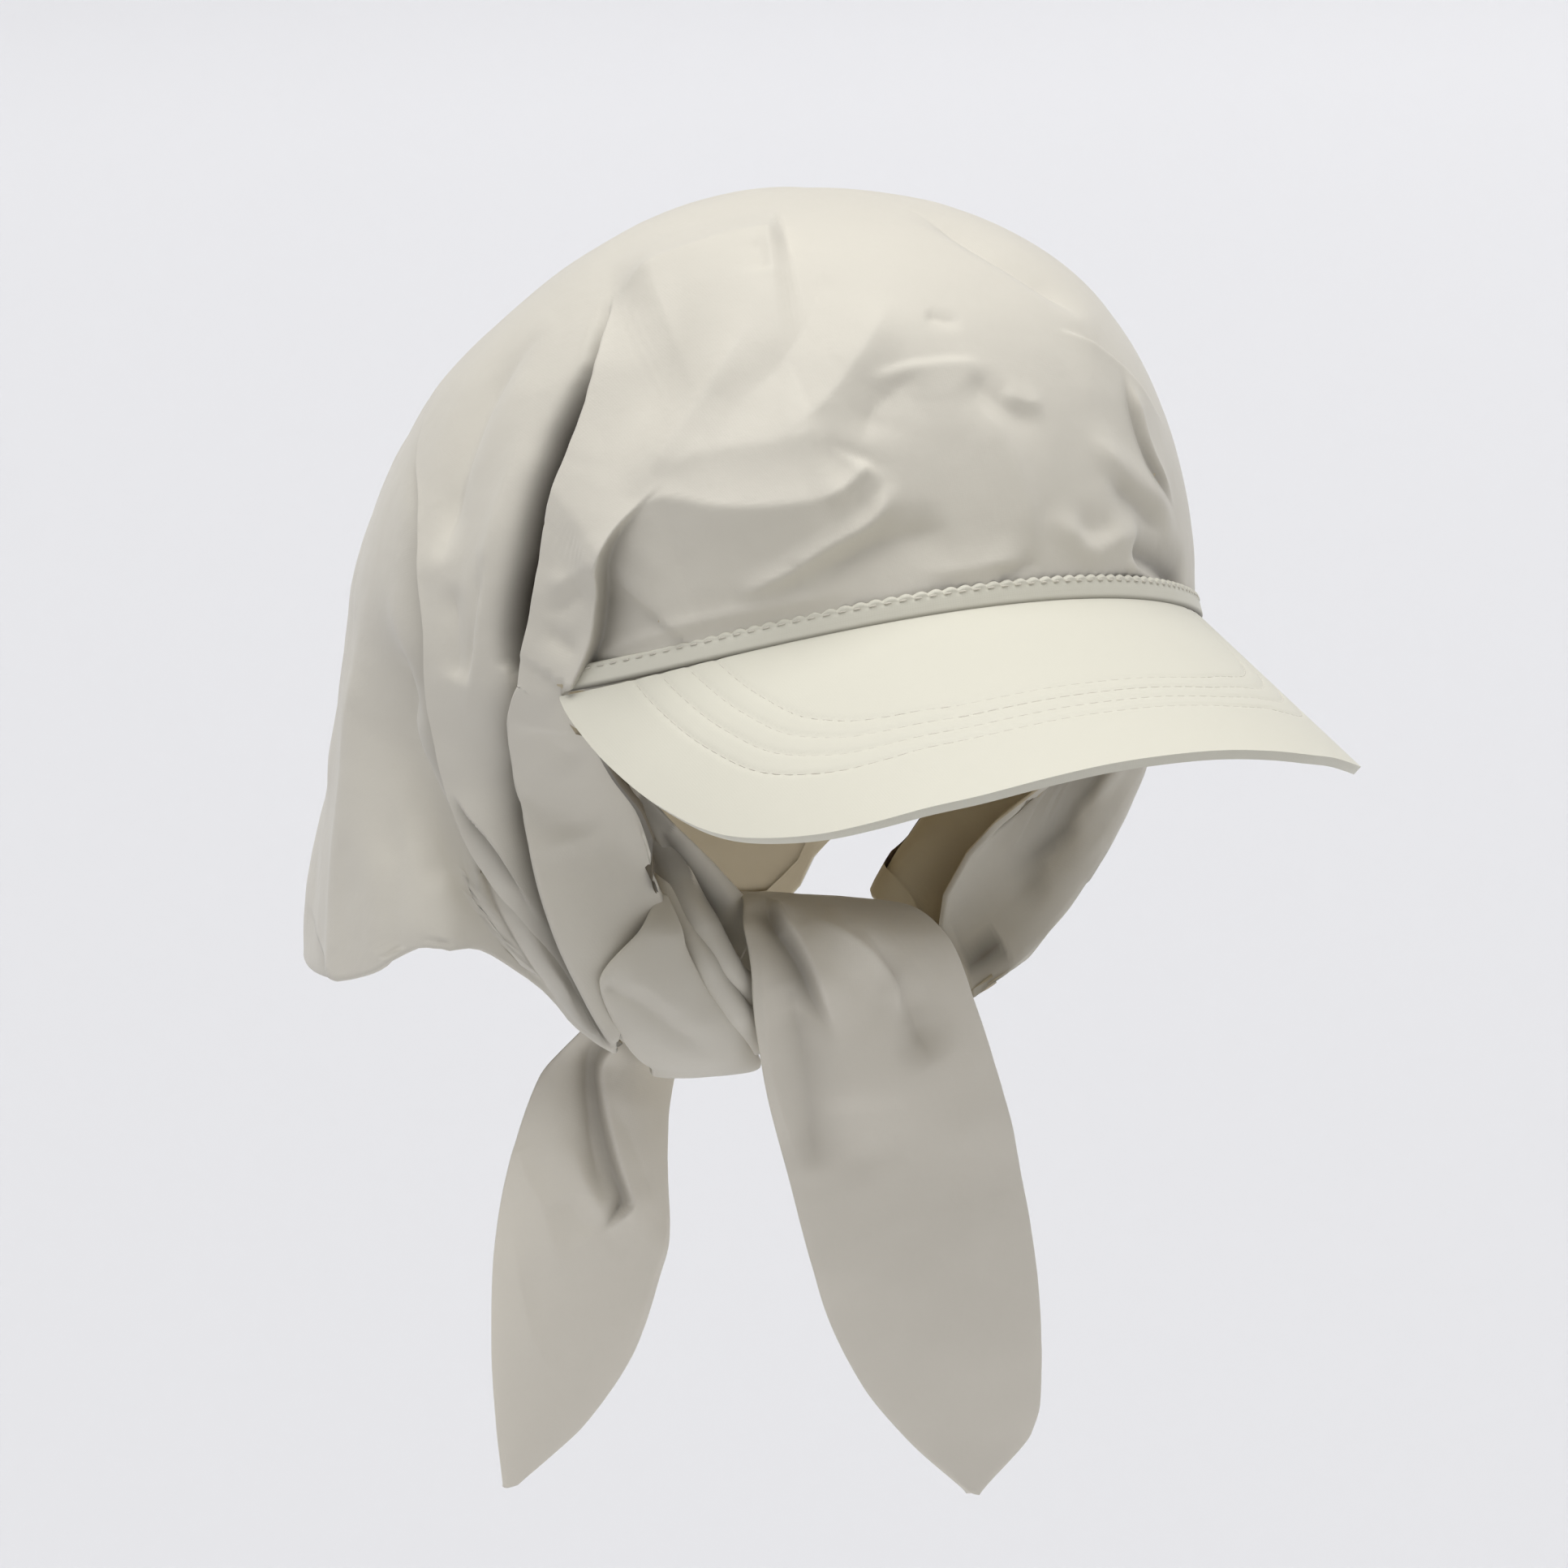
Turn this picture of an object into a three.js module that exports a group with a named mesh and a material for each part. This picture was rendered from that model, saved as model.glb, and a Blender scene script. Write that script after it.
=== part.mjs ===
// Flap cap of light nylon: a soft crown with a stitched peak, whose cloth runs on as a neck flap
// and as two side sweeps tied in a knot under the chin.
// Millimetres, +Z up. The peak points to -Y and the wearer's left is +X. The origin is the centre
// of the head opening, 3 mm below the two corners where the peak's seam ends.
import * as THREE from 'three';
import { mergeVertices } from 'three/addons/utils/BufferGeometryUtils.js';

// Head opening: half of its width, half of its length to the front and to the back, and the turn
// from the front to each corner of the peak
const HEAD = { halfWidth: 83.7, front: 100, back: 101, corner: 59.3 };
// Crown: height, where its top sits along Y, and how square its outline is at the side, how much
// more at the front, and at least
const CROWN = { height: 92.5, topY: -13, square: 2.07, frontMore: 0.7, least: 1.72 };
const CLOTH = 1.6;
const TAIL_CLOTH = 1.9;
const GAP = 0.4;
// How far the neck flap leans out at the back, for each millimetre that it hangs
const FLARE = 0.16;
// Straight stretches of the hanging cloth below the rim and before its edge, as parts of its hang, and
// how far the full pull of the knot turns the last one
const STRAIGHT = { rim: 0.34, edge: 0.26, turned: 0.8 };
// Turns between which the cloth is the back of the neck flap
const BACK = { from: 125, to: 225 };

// Peak: a crescent board bent over a cylinder and sloping down
const PEAK = {
  radius: 94.5, slope: 17.9, seamHeight: 21.6, length: 62, halfWidth: 90, sweepBack: 33.7,
  frontPower: 4.7, sidePower: 4.3, thick: 2.6,
};
// Its band: lift above the seam, and how many degrees short of the peak's corners it ends
const BAND = { height: 4.2, thick: 1.2, lift: 1.6, short: 1 };

// The knot's middle, towards which both side sweeps are pulled
const KNOT = { x: -14, y: -20, z: -69 };

// Edge of the cloth behind the peak, from its left corner round the back to its right corner:
// turn in degrees, the edge's place, how far its last stretch is pulled towards the knot, and how full
// the cloth above it is
const EDGE = [
  { turn: 60.5, x: 70, y: -40, z: -10, pull: 0.2, belly: 1.5 },
  { turn: 62, x: 63, y: -25, z: -28, pull: 0.5, belly: 1.5 },
  { turn: 64, x: 54, y: -14, z: -41, pull: 0.8, belly: 1.4 },
  { turn: 66, x: 43, y: -12, z: -51, pull: 1, belly: 1.4 },
  { turn: 68, x: 36, y: -11, z: -65, pull: 1, belly: 1.4 },
  { turn: 71, x: 38, y: -19, z: -75, pull: 1, belly: 1.35 },
  { turn: 75, x: 38, y: -22, z: -80, pull: 1, belly: 1.3 },
  { turn: 86, x: 31, y: -10, z: -72, pull: 0.8, belly: 1.15 },
  { turn: 96, x: 26, y: -1, z: -62, pull: 0.7, belly: 1 },
  { turn: 105, x: 45, y: 19, z: -58.5, pull: 0.6, belly: 1 },
  { turn: 114, x: 65, y: 39, z: -54.5, pull: 0.4, belly: 1 },
  { turn: 122, x: 72, y: 56, z: -52, pull: 0.2, belly: 1 },
  { turn: 131, x: 69, y: 72, z: -56, pull: 0, belly: 1 },
  { turn: 140, x: 60, y: 86, z: -71, pull: 0, belly: 1 },
  { turn: 149, x: 49, y: 99, z: -85, pull: 0, belly: 1 },
  { turn: 164, x: 26, y: 112, z: -89, pull: 0, belly: 1 },
  { turn: 180, x: 0, y: 118, z: -90, pull: 0, belly: 1 },
  { turn: 196, x: -28, y: 113, z: -89, pull: 0, belly: 1 },
  { turn: 211, x: -54, y: 99, z: -86, pull: 0, belly: 1 },
  { turn: 223, x: -72, y: 79, z: -80, pull: 0, belly: 1 },
  { turn: 233, x: -79, y: 57, z: -77.5, pull: 0, belly: 1 },
  { turn: 241, x: -83.5, y: 34, z: -73.5, pull: 0, belly: 1 },
  { turn: 248, x: -85, y: 12, z: -66.5, pull: 0.1, belly: 1 },
  { turn: 254, x: -81, y: -3, z: -58.5, pull: 0.2, belly: 1 },
  { turn: 259, x: -74, y: -9, z: -58.5, pull: 0.3, belly: 1 },
  { turn: 264, x: -64, y: -14, z: -65, pull: 0.45, belly: 1 },
  { turn: 268, x: -54, y: -18, z: -76, pull: 0.6, belly: 1 },
  { turn: 273, x: -50, y: -27, z: -80, pull: 0.7, belly: 1 },
  { turn: 279, x: -52, y: -32, z: -67, pull: 0.7, belly: 1 },
  { turn: 285, x: -41, y: -31, z: -48, pull: 0.7, belly: 1.25 },
  { turn: 291, x: -50, y: -39, z: -28, pull: 0.5, belly: 1.5 },
  { turn: 297, x: -62, y: -46, z: -13, pull: 0.3, belly: 1.6 },
];

// Folds of the hood: a route as turn and the way down (1 is the rim, 2 the cloth's edge), the
// height of its crest (minus is a valley) and half width, and the height of a lap's upper layer,
// which lies on the left of the route as one looks along it from outside
const HOOD_FOLDS = [
  // Right side: the deep crease, the roll behind it, and the border of the neck flap
  { route: [[-66, 0.44], [-62.5, 0.6], [-63, 0.8], [-66, 1], [-70, 1.24], [-77.5, 1.43], [-80, 1.6], [-83, 1.93]],
    height: -3, width: 4, lap: 2 },
  { route: [[-72, 0.45], [-67, 0.7], [-68, 0.97], [-74, 1.2]], height: 2.2, width: 5 },
  { route: [[-104, 0.62], [-90, 0.79], [-83, 0.98], [-82, 1.2], [-83.5, 1.4], [-80.5, 1.63], [-81.5, 1.85]],
    height: -1.2, width: 4, lap: 1.6 },
  { route: [[-93, 1.02], [-93.5, 1.2], [-90, 1.38], [-84, 1.58], [-82.5, 1.78]], height: -4, width: 8 },
  { route: [[-103, 0.95], [-104, 1.3], [-110, 1.6], [-115, 1.95]], height: 2, width: 9 },
  // Front of the crown: soft folds that rise from the peak's right corner, with hollows below
  { route: [[-59, 0.92], [-54, 0.84], [-48, 0.78], [-36, 0.75], [-24, 0.74]], height: 2, width: 5 },
  { route: [[-52, 0.9], [-42, 0.88], [-30, 0.86], [-20, 0.8]], height: -2.6, width: 6 },
  { route: [[-34, 0.95], [-26, 0.91], [-20, 0.88], [-18, 0.82]], height: 1.6, width: 4 },
  { route: [[-25, 0.93], [-17, 0.92], [-9, 0.87]], height: -1.8, width: 4 },
  { route: [[-44, 0.28], [-52, 0.38], [-58, 0.55], [-60, 0.75]], height: -2.2, width: 6 },
  { route: [[-19, 0.35], [-26, 0.5], [-34, 0.63], [-42, 0.72]], height: -2, width: 6 },
  { route: [[-13, 0.48], [-20, 0.56], [-26, 0.66]], height: 1.4, width: 5 },
  { route: [[23, 0.14], [23, 0.3], [28, 0.43], [35, 0.54]], height: -1.4, width: 5 },
  { route: [[34, 0.66], [36, 0.75], [40, 0.83], [45, 0.9]], height: -2.2, width: 4 },
  { route: [[22, 0.92], [28, 0.95], [34, 0.97]], height: -1.8, width: 4 },
  // Left side and back, like the right side but softer
  { route: [[66, 0.5], [63, 0.75], [66, 1], [71, 1.3], [75, 1.6], [75, 1.9]], height: -2.4, width: 5, lap: -1.4 },
  { route: [[104, 0.7], [94, 1], [90, 1.35], [86, 1.7]], height: -1.8, width: 5, lap: -1.2 },
  { route: [[112, 0.98], [108, 1.25], [100, 1.6]], height: -2.6, width: 9 },
  { route: [[-140, 1.02], [-143, 1.5], [-147, 2.1]], height: 2.2, width: 10 },
  { route: [[-168, 1.05], [-166, 1.5], [-166, 2.1]], height: -2.4, width: 9 },
  { route: [[170, 1.02], [168, 1.5], [168, 2.1]], height: 2, width: 9 },
  { route: [[146, 1.05], [148, 1.5], [152, 2.1]], height: -2.2, width: 9 },
];

// Front tail, from behind the knot over its top and down: its left and right edges as one faces
// it, and its bulge forward
const FRONT_TAIL = [
  { at: 0, lx: -17, ly: -13, lz: -53, rx: 19, ry: -7, rz: -60, bulge: 0 },
  { at: 0.05, lx: -19, ly: -24, lz: -50.5, rx: 24, ry: -18, rz: -59, bulge: 2 },
  { at: 0.12, lx: -24.5, ly: -36, lz: -55, rx: 26.5, ry: -30, rz: -63.5, bulge: 3 },
  { at: 0.22, lx: -25, ly: -40, lz: -65.5, rx: 30, ry: -35, rz: -76.5, bulge: 4 },
  { at: 0.36, lx: -22.5, ly: -40, lz: -84, rx: 36, ry: -36, rz: -95, bulge: 5 },
  { at: 0.5, lx: -17, ly: -39, lz: -104, rx: 41, ry: -35, rz: -113, bulge: 4 },
  { at: 0.67, lx: -10, ly: -38, lz: -127.5, rx: 46.5, ry: -33, rz: -137.5, bulge: 3 },
  { at: 0.78, lx: -5, ly: -36, lz: -140.5, rx: 49, ry: -31, rz: -154.5, bulge: 2.5 },
  { at: 0.88, lx: 6.5, ly: -33, lz: -156.5, rx: 50, ry: -29, rz: -168, bulge: 1.5 },
  { at: 0.94, lx: 19, ly: -31, lz: -170, rx: 48.5, ry: -28, rz: -174.5, bulge: 0.8 },
  { at: 1, lx: 32, ly: -29, lz: -184, rx: 39.5, ry: -28, rz: -184.5, bulge: 0 },
];
const REAR_TAIL = [
  { at: 0, lx: -39, ly: -13, lz: -70, rx: -23, ry: -10.5, rz: -73, bulge: 0 },
  { at: 0.07, lx: -46, ly: -5, lz: -81.5, rx: -25, ry: -6, rz: -91, bulge: 1.5 },
  { at: 0.17, lx: -55.5, ly: -4, lz: -90, rx: -26.5, ry: -5, rz: -102, bulge: 4 },
  { at: 0.3, lx: -62.5, ly: -5, lz: -104.5, rx: -27.5, ry: -6, rz: -113, bulge: 5 },
  { at: 0.43, lx: -66, ly: -5, lz: -118, rx: -27, ry: -6, rz: -127, bulge: 5 },
  { at: 0.54, lx: -66.5, ly: -4, lz: -130.5, rx: -28, ry: -6, rz: -136, bulge: 4 },
  { at: 0.7, lx: -66, ly: -3, lz: -147, rx: -33.5, ry: -5, rz: -151, bulge: 2.5 },
  { at: 0.86, lx: -65, ly: -3, lz: -163, rx: -45, ry: -3, rz: -166.5, bulge: 1 },
  { at: 1, lx: -64, ly: -2, lz: -178, rx: -60.5, ry: -2, rz: -177.5, bulge: 0 },
];
// Folds of the tails, with routes as across (0 to 1) and down (0 to 1)
const FRONT_TAIL_FOLDS = [
  { route: [[0.14, 0.02], [0.22, 0.12], [0.28, 0.22], [0.32, 0.32]], height: -1.6, width: 3.5 },
  { route: [[0.1, 0.16], [0.13, 0.36], [0.1, 0.54]], height: -2, width: 5 },
  { route: [[0.48, 0.14], [0.58, 0.26], [0.6, 0.4]], height: 1.6, width: 8 },
];
const REAR_TAIL_FOLDS = [
  { route: [[0.38, 0], [0.5, 0.14], [0.6, 0.27], [0.72, 0.44]], height: -4, width: 4.5 },
  { route: [[0.25, 0.05], [0.3, 0.35], [0.4, 0.6]], height: 1.5, width: 7 },
];

// The knot's bundle of gathered cloth, from the right sweep to the left one: centre, half sizes
const BUNDLE = [
  { at: 0, x: -48, y: -26, z: -69, deep: 2.5, tall: 9 },
  { at: 0.12, x: -41, y: -23, z: -67, deep: 7.5, tall: 14 },
  { at: 0.4, x: -26, y: -23, z: -69, deep: 10.5, tall: 16 },
  { at: 0.7, x: -2, y: -19, z: -69, deep: 10, tall: 13 },
  { at: 0.9, x: 20, y: -14, z: -69.5, deep: 7, tall: 8 },
  { at: 1, x: 32, y: -14, z: -70, deep: 2, tall: 4 },
];

// Its strands: how many, their height as a part of the bundle's, and their twist along it in radians
const STRANDS = { count: 6, height: 0.07, twist: 1.4 };

// Shape across a fold: how many half widths it reaches, how slowly it ends along its route, and how
// sharp a lap's step is and how soon it fades
const FOLD = { reach: 3, taper: 0.6, step: 2, fade: 0.8 };

// How finely each piece is meshed
const MESH = {
  hoodCols: { front: 22, left: 26, back: 16, right: 34 }, domeRows: 11, skirtRows: 11,
  outline: 60, peakCols: 34, peakRows: 5, bandCols: 36, rings: 16, ringSides: 28,
  tailCols: 9, frontTailRows: 22, rearTailRows: 18, routeSteps: 5,
};

const rad = THREE.MathUtils.degToRad;
const vec = (x, y, z) => new THREE.Vector3(x, y, z);
const span = (n, from, to) => Array.from({ length: n + 1 }, (_, i) => from + ((to - from) * i) / n);

// Value of a named column between a table's rows, without overshoot
function column(rows, by, key, at) {
  const last = rows.length - 1;
  const step = (i) => (rows[i + 1][key] - rows[i][key]) / (rows[i + 1][by] - rows[i][by]);
  const slope = (i) => {
    if (i === 0) return step(0);
    if (i === last) return step(last - 1);
    const before = step(i - 1);
    const after = step(i);
    return before * after <= 0 ? 0 : (2 * before * after) / (before + after);
  };
  let i = 0;
  while (i < last - 1 && at > rows[i + 1][by]) i += 1;
  const width = rows[i + 1][by] - rows[i][by];
  const t = THREE.MathUtils.clamp((at - rows[i][by]) / width, 0, 1);
  const u = 1 - t;
  return rows[i][key] * u * u * (1 + 2 * t) + rows[i + 1][key] * t * t * (3 - 2 * t)
    + width * t * u * (slope(i) * u - slope(i + 1) * t);
}

// Point on the bent peak, from the arc length across it and the distance in front of its rear line
function peakPoint(across, forward) {
  const bend = across / PEAK.radius;
  const drop = PEAK.radius * (1 - Math.cos(bend));
  const slope = rad(PEAK.slope);
  return vec(
    PEAK.radius * Math.sin(bend),
    -HEAD.front - Math.cos(slope) * forward + Math.sin(slope) * drop,
    PEAK.seamHeight - Math.sin(slope) * forward - Math.cos(slope) * drop,
  );
}

// Head opening at a turn, moved out by some millimetres
function rimPoint(turn, out = 0) {
  const along = -Math.cos(rad(turn));
  const half = along < 0 ? HEAD.front : HEAD.back;
  return vec((HEAD.halfWidth + out) * Math.sin(rad(turn)), (half + out) * along, 0);
}

// Where the peak's surface cuts the head opening, as across and forward on the peak
function seamOnPeak(turn, out = 0) {
  const rim = rimPoint(turn, out);
  const bend = Math.asin(rim.x / PEAK.radius);
  const slope = rad(PEAK.slope);
  const drop = PEAK.radius * (1 - Math.cos(bend));
  const forward = (-HEAD.front - rim.y + Math.sin(slope) * drop) / Math.cos(slope);
  return vec(bend * PEAK.radius, forward, 0);
}

function seamPoint(turn, out = 0) {
  const seam = seamOnPeak(turn, out);
  return peakPoint(seam.x, seam.y);
}

// The cloth's edge at a turn beyond the peak's corners, and the pull on it
function edgeAt(turn) {
  const corner = seamPoint(HEAD.corner);
  const rows = [
    { turn: HEAD.corner, x: corner.x, y: corner.y, z: corner.z, pull: 0, belly: 1.5 },
    ...EDGE,
    { turn: 360 - HEAD.corner, x: -corner.x, y: corner.y, z: corner.z, pull: 0, belly: 1.5 },
  ];
  const round = turn < 0 ? turn + 360 : turn;
  const value = (key) => column(rows, 'turn', key, round);
  return { place: vec(value('x'), value('y'), value('z')), pull: value('pull'), belly: value('belly') };
}

// Middle of the hood's cloth at a turn: down runs from 0 at the crown's top to 1 at the rim and
// on to 2 at the cloth's edge
function hoodPoint(turn, down) {
  const front = Math.abs(turn) <= HEAD.corner;
  const rim = rimPoint(turn);
  rim.z = seamPoint(front ? turn : HEAD.corner).z;
  const square = Math.max(CROWN.least, CROWN.square + CROWN.frontMore * Math.cos(rad(turn)));
  if (down <= 1 || front) {
    const end = Math.acos((rim.z / CROWN.height) ** (square / 2));
    const angle = Math.min(down, 1) * end;
    const out = (Math.sin(angle) / Math.sin(end)) ** (2 / square);
    const up = Math.cos(angle) ** (2 / square);
    return vec(rim.x * out, CROWN.topY + (rim.y - CROWN.topY) * out, CROWN.height * up);
  }
  const edge = edgeAt(turn);
  const hang = edge.place.distanceTo(rim) * edge.belly;
  const lean = FLARE * Math.max(0, -Math.cos(rad(turn)));
  const fall = vec(rim.x, rim.y, 0).normalize().multiplyScalar(lean).add(vec(0, 0, -1));
  const pulled = vec(KNOT.x, KNOT.y, KNOT.z).sub(edge.place).normalize();
  const lead = vec(0, 0, -1).lerp(pulled, STRAIGHT.turned * edge.pull).normalize();
  const bend = new THREE.CubicBezierCurve3(
    rim,
    rim.clone().addScaledVector(fall, STRAIGHT.rim * hang),
    edge.place.clone().addScaledVector(lead, -STRAIGHT.edge * hang),
    edge.place,
  );
  return bend.getPoint(down - 1);
}

// Middle of a hanging sheet: across from its left to its right edge, bulging to the front
function sheetPoint(rows, across, down) {
  const value = (key) => column(rows, 'at', key, down);
  const left = vec(value('lx'), value('ly'), value('lz'));
  const right = vec(value('rx'), value('ry'), value('rz'));
  const bow = value('bulge') * 4 * across * (1 - across);
  return left.lerp(right, across).add(vec(0, -bow, 0));
}

// A fold with its route traced on a cloth
function traced(folds, point) {
  return folds.map((fold) => {
    const curve = new THREE.CatmullRomCurve3(fold.route.map(([a, b]) => vec(a, b, 0)));
    const spots = curve.getPoints(MESH.routeSteps * (fold.route.length - 1));
    return { lap: 0, ...fold, line: spots.map((spot) => point(spot.x, spot.y)) };
  });
}

// Height that the folds give to a place on a cloth, along its normal
function foldHeight(folds, place, normal) {
  let height = 0;
  for (const fold of folds) {
    let best = { far: Infinity };
    for (let i = 1; i < fold.line.length; i += 1) {
      const along = fold.line[i].clone().sub(fold.line[i - 1]);
      const off = place.clone().sub(fold.line[i - 1]);
      const t = THREE.MathUtils.clamp(off.dot(along) / along.lengthSq(), 0, 1);
      off.addScaledVector(along, -t);
      const part = (i - 1 + t) / (fold.line.length - 1);
      if (off.length() < best.far) best = { far: off.length(), off, along, part };
    }
    const reach = best.far / fold.width;
    if (reach < FOLD.reach) {
      const taper = Math.sin(Math.PI * best.part) ** FOLD.taper;
      const side = Math.sign(best.off.dot(normal.clone().cross(best.along)));
      height += fold.height * taper * Math.exp(-reach * reach);
      height += fold.lap * taper * Math.tanh(FOLD.step * side * reach) * Math.exp(-FOLD.fade * reach);
    }
  }
  return height;
}

// Triangles of a grid of points, with points that coincide made one and empty triangles left out
function sheet(grid, wraps) {
  const cols = grid[0].length;
  const flat = new THREE.BufferGeometry();
  flat.setAttribute('position', new THREE.Float32BufferAttribute(grid.flat().flatMap((p) => p.toArray()), 3));
  const index = [];
  for (let r = 0; r < grid.length - 1; r += 1) {
    for (let c = 0; c < (wraps ? cols : cols - 1); c += 1) {
      const next = (c + 1) % cols;
      const [a, b, d, e] = [r * cols + c, (r + 1) * cols + c, (r + 1) * cols + next, r * cols + next];
      index.push(a, b, d, a, d, e);
    }
  }
  flat.setIndex(index);
  const merged = mergeVertices(flat, 1e-3);
  const faces = [];
  for (let i = 0; i < index.length; i += 3) {
    const face = [0, 1, 2].map((k) => merged.index.getX(i + k));
    if (new Set(face).size === 3) faces.push(face);
  }
  merged.setIndex(faces.flat());
  merged.computeVertexNormals();
  const read = (attribute) => span(attribute.count - 1, 0, attribute.count - 1)
    .map((i) => vec().fromBufferAttribute(attribute, i));
  return { places: read(merged.attributes.position), normals: read(merged.attributes.normal), faces };
}

// Closed wall of a given thickness on a grid of middle points, raised by its folds
function wall(grid, thick, folds = [], wraps = false) {
  const { places, normals, faces } = sheet(grid, wraps);
  const lifts = places.map((place, i) => foldHeight(folds, place, normals[i]));
  const side = (half) => places.map((place, i) => place.clone().addScaledVector(normals[i], lifts[i] + half));
  const count = places.length;
  const closed = faces.flatMap(([a, b, c]) => [[a, b, c], [a + count, c + count, b + count]]);
  const edges = new Map();
  for (const face of faces) {
    face.forEach((a, k) => edges.set(`${a} ${face[(k + 1) % 3]}`, [a, face[(k + 1) % 3]]));
  }
  for (const [a, b] of edges.values()) {
    if (!edges.has(`${b} ${a}`)) closed.push([b, a, a + count], [b, a + count, b + count]);
  }
  return solid([...side(thick / 2), ...side(-thick / 2)], closed.flat());
}

function solid(spots, faces) {
  const geometry = new THREE.BufferGeometry();
  geometry.setAttribute('position', new THREE.Float32BufferAttribute(spots.flatMap((p) => p.toArray()), 3));
  geometry.setIndex(faces);
  geometry.computeVertexNormals();
  return geometry;
}

// Turns of the hood's columns, closer together where the cloth is gathered
function hoodTurns() {
  return [
    ...span(MESH.hoodCols.front, -HEAD.corner, HEAD.corner),
    ...span(MESH.hoodCols.left, HEAD.corner, BACK.from).slice(1),
    ...span(MESH.hoodCols.back, BACK.from, BACK.to).slice(1),
    ...span(MESH.hoodCols.right, BACK.to, 360 - HEAD.corner).slice(1, -1),
  ].map((turn) => (turn > 180 ? turn - 360 : turn));
}

function hood() {
  const downs = [...span(MESH.domeRows, 0, 1), ...span(MESH.skirtRows, 1, 2).slice(1)];
  const grid = downs.map((down) => hoodTurns().map((turn) => hoodPoint(turn, down)));
  return wall(grid, CLOTH, traced(HOOD_FOLDS, hoodPoint), true);
}

// A line resampled into equal steps
function evenly(line, n) {
  const curve = new THREE.CatmullRomCurve3(line, false, 'centripetal');
  curve.arcLengthDivisions = 400;
  return curve.getSpacedPoints(n);
}

// Front edge of the flat peak, at a part of its half width from -1 to 1
function peakOutline(part) {
  const reach = (1 - Math.abs(part) ** PEAK.frontPower) ** (1 / PEAK.sidePower);
  return vec(part * PEAK.halfWidth, PEAK.length * reach - PEAK.sweepBack * part * part, 0);
}

function peak() {
  const half = span(MESH.outline, 0, 1).map((a) => 1 - (1 - a) ** 3);
  const parts = [...half.slice(1).reverse().map((part) => -part), ...half];
  const front = evenly(parts.map(peakOutline), MESH.peakCols);
  const clear = CLOTH / 2 + 2 * GAP;
  const rear = span(MESH.peakCols, -HEAD.corner, HEAD.corner).map((turn) => seamOnPeak(turn, clear));
  const grid = span(MESH.peakRows, 0, 1).map((t) => front.map((point, c) => {
    const flat = rear[c].clone().lerp(point, t);
    return peakPoint(flat.x, flat.y);
  }));
  return wall(grid, PEAK.thick);
}

// Narrow binding round the crown just above the peak
function seamBand() {
  const turns = span(MESH.bandCols, BAND.short - HEAD.corner, HEAD.corner - BAND.short);
  const grid = [1, 0].map((t) => turns.map((turn) => {
    const place = hoodPoint(turn, 1);
    const out = rimPoint(turn).normalize().multiplyScalar(CLOTH / 2 + GAP + BAND.thick / 2);
    return place.add(out).add(vec(0, 0, BAND.lift + t * BAND.height));
  }));
  return wall(grid, BAND.thick);
}

function tail(rows, folds, lines) {
  const point = (across, down) => sheetPoint(rows, across, down);
  const across = span(MESH.tailCols, 0, 1);
  const grid = span(lines, 0, 1).map((down) => across.map((part) => point(part, down)));
  return wall(grid, TAIL_CLOTH, traced(folds, point));
}

// Bundle of the knot as rings round its line, closed at both ends
function bundle() {
  const sides = MESH.ringSides;
  const rings = span(MESH.rings, 0, 1).map((at) => {
    const value = (key) => column(BUNDLE, 'at', key, at);
    return span(sides, 0, 2 * Math.PI).slice(0, sides).map((angle) => {
      const swell = 1 + STRANDS.height * Math.cos(STRANDS.count * (angle + STRANDS.twist * at));
      return vec(
        value('x'),
        value('y') - value('deep') * swell * Math.cos(angle),
        value('z') + value('tall') * swell * Math.sin(angle),
      );
    });
  });
  const faces = [];
  for (let r = 0; r < rings.length - 1; r += 1) {
    for (let c = 0; c < sides; c += 1) {
      const [a, b] = [r * sides + c, r * sides + ((c + 1) % sides)];
      faces.push(a, b + sides, b, a, a + sides, b + sides);
    }
  }
  const end = (rings.length - 1) * sides;
  for (let c = 1; c < sides - 1; c += 1) faces.push(0, c, c + 1, end, end + c + 1, end + c);
  return solid(rings.flat(), faces);
}

const shellCloth = new THREE.MeshStandardMaterial({ color: 0xd9d3c4, roughness: 0.62, metalness: 0 });
const peakCloth = new THREE.MeshStandardMaterial({ color: 0xe0dbc9, roughness: 0.6, metalness: 0 });

const cap = new THREE.Group();
function add(name, geometry, material) {
  const mesh = new THREE.Mesh(geometry, material.clone());
  mesh.name = name;
  cap.add(mesh);
}
add('hood', hood(), shellCloth);
add('peak', peak(), peakCloth);
add('seam_band', seamBand(), peakCloth);
add('knot', bundle(), shellCloth);
add('front_tail', tail(FRONT_TAIL, FRONT_TAIL_FOLDS, MESH.frontTailRows), shellCloth);
add('rear_tail', tail(REAR_TAIL, REAR_TAIL_FOLDS, MESH.rearTailRows), shellCloth);

export default cap;
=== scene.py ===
"""Flap cap of light woven nylon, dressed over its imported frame.

Tables and sizes are in millimetres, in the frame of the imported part: +Z up, -Y towards the peak, +X to
the wearer's left, origin at the centre of the head opening. Meshes are made in metres.
"""

import logging
import math
from dataclasses import dataclass, field
from enum import Enum

import bpy
import numpy as np
from mathutils import Matrix, Vector, noise


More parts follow.
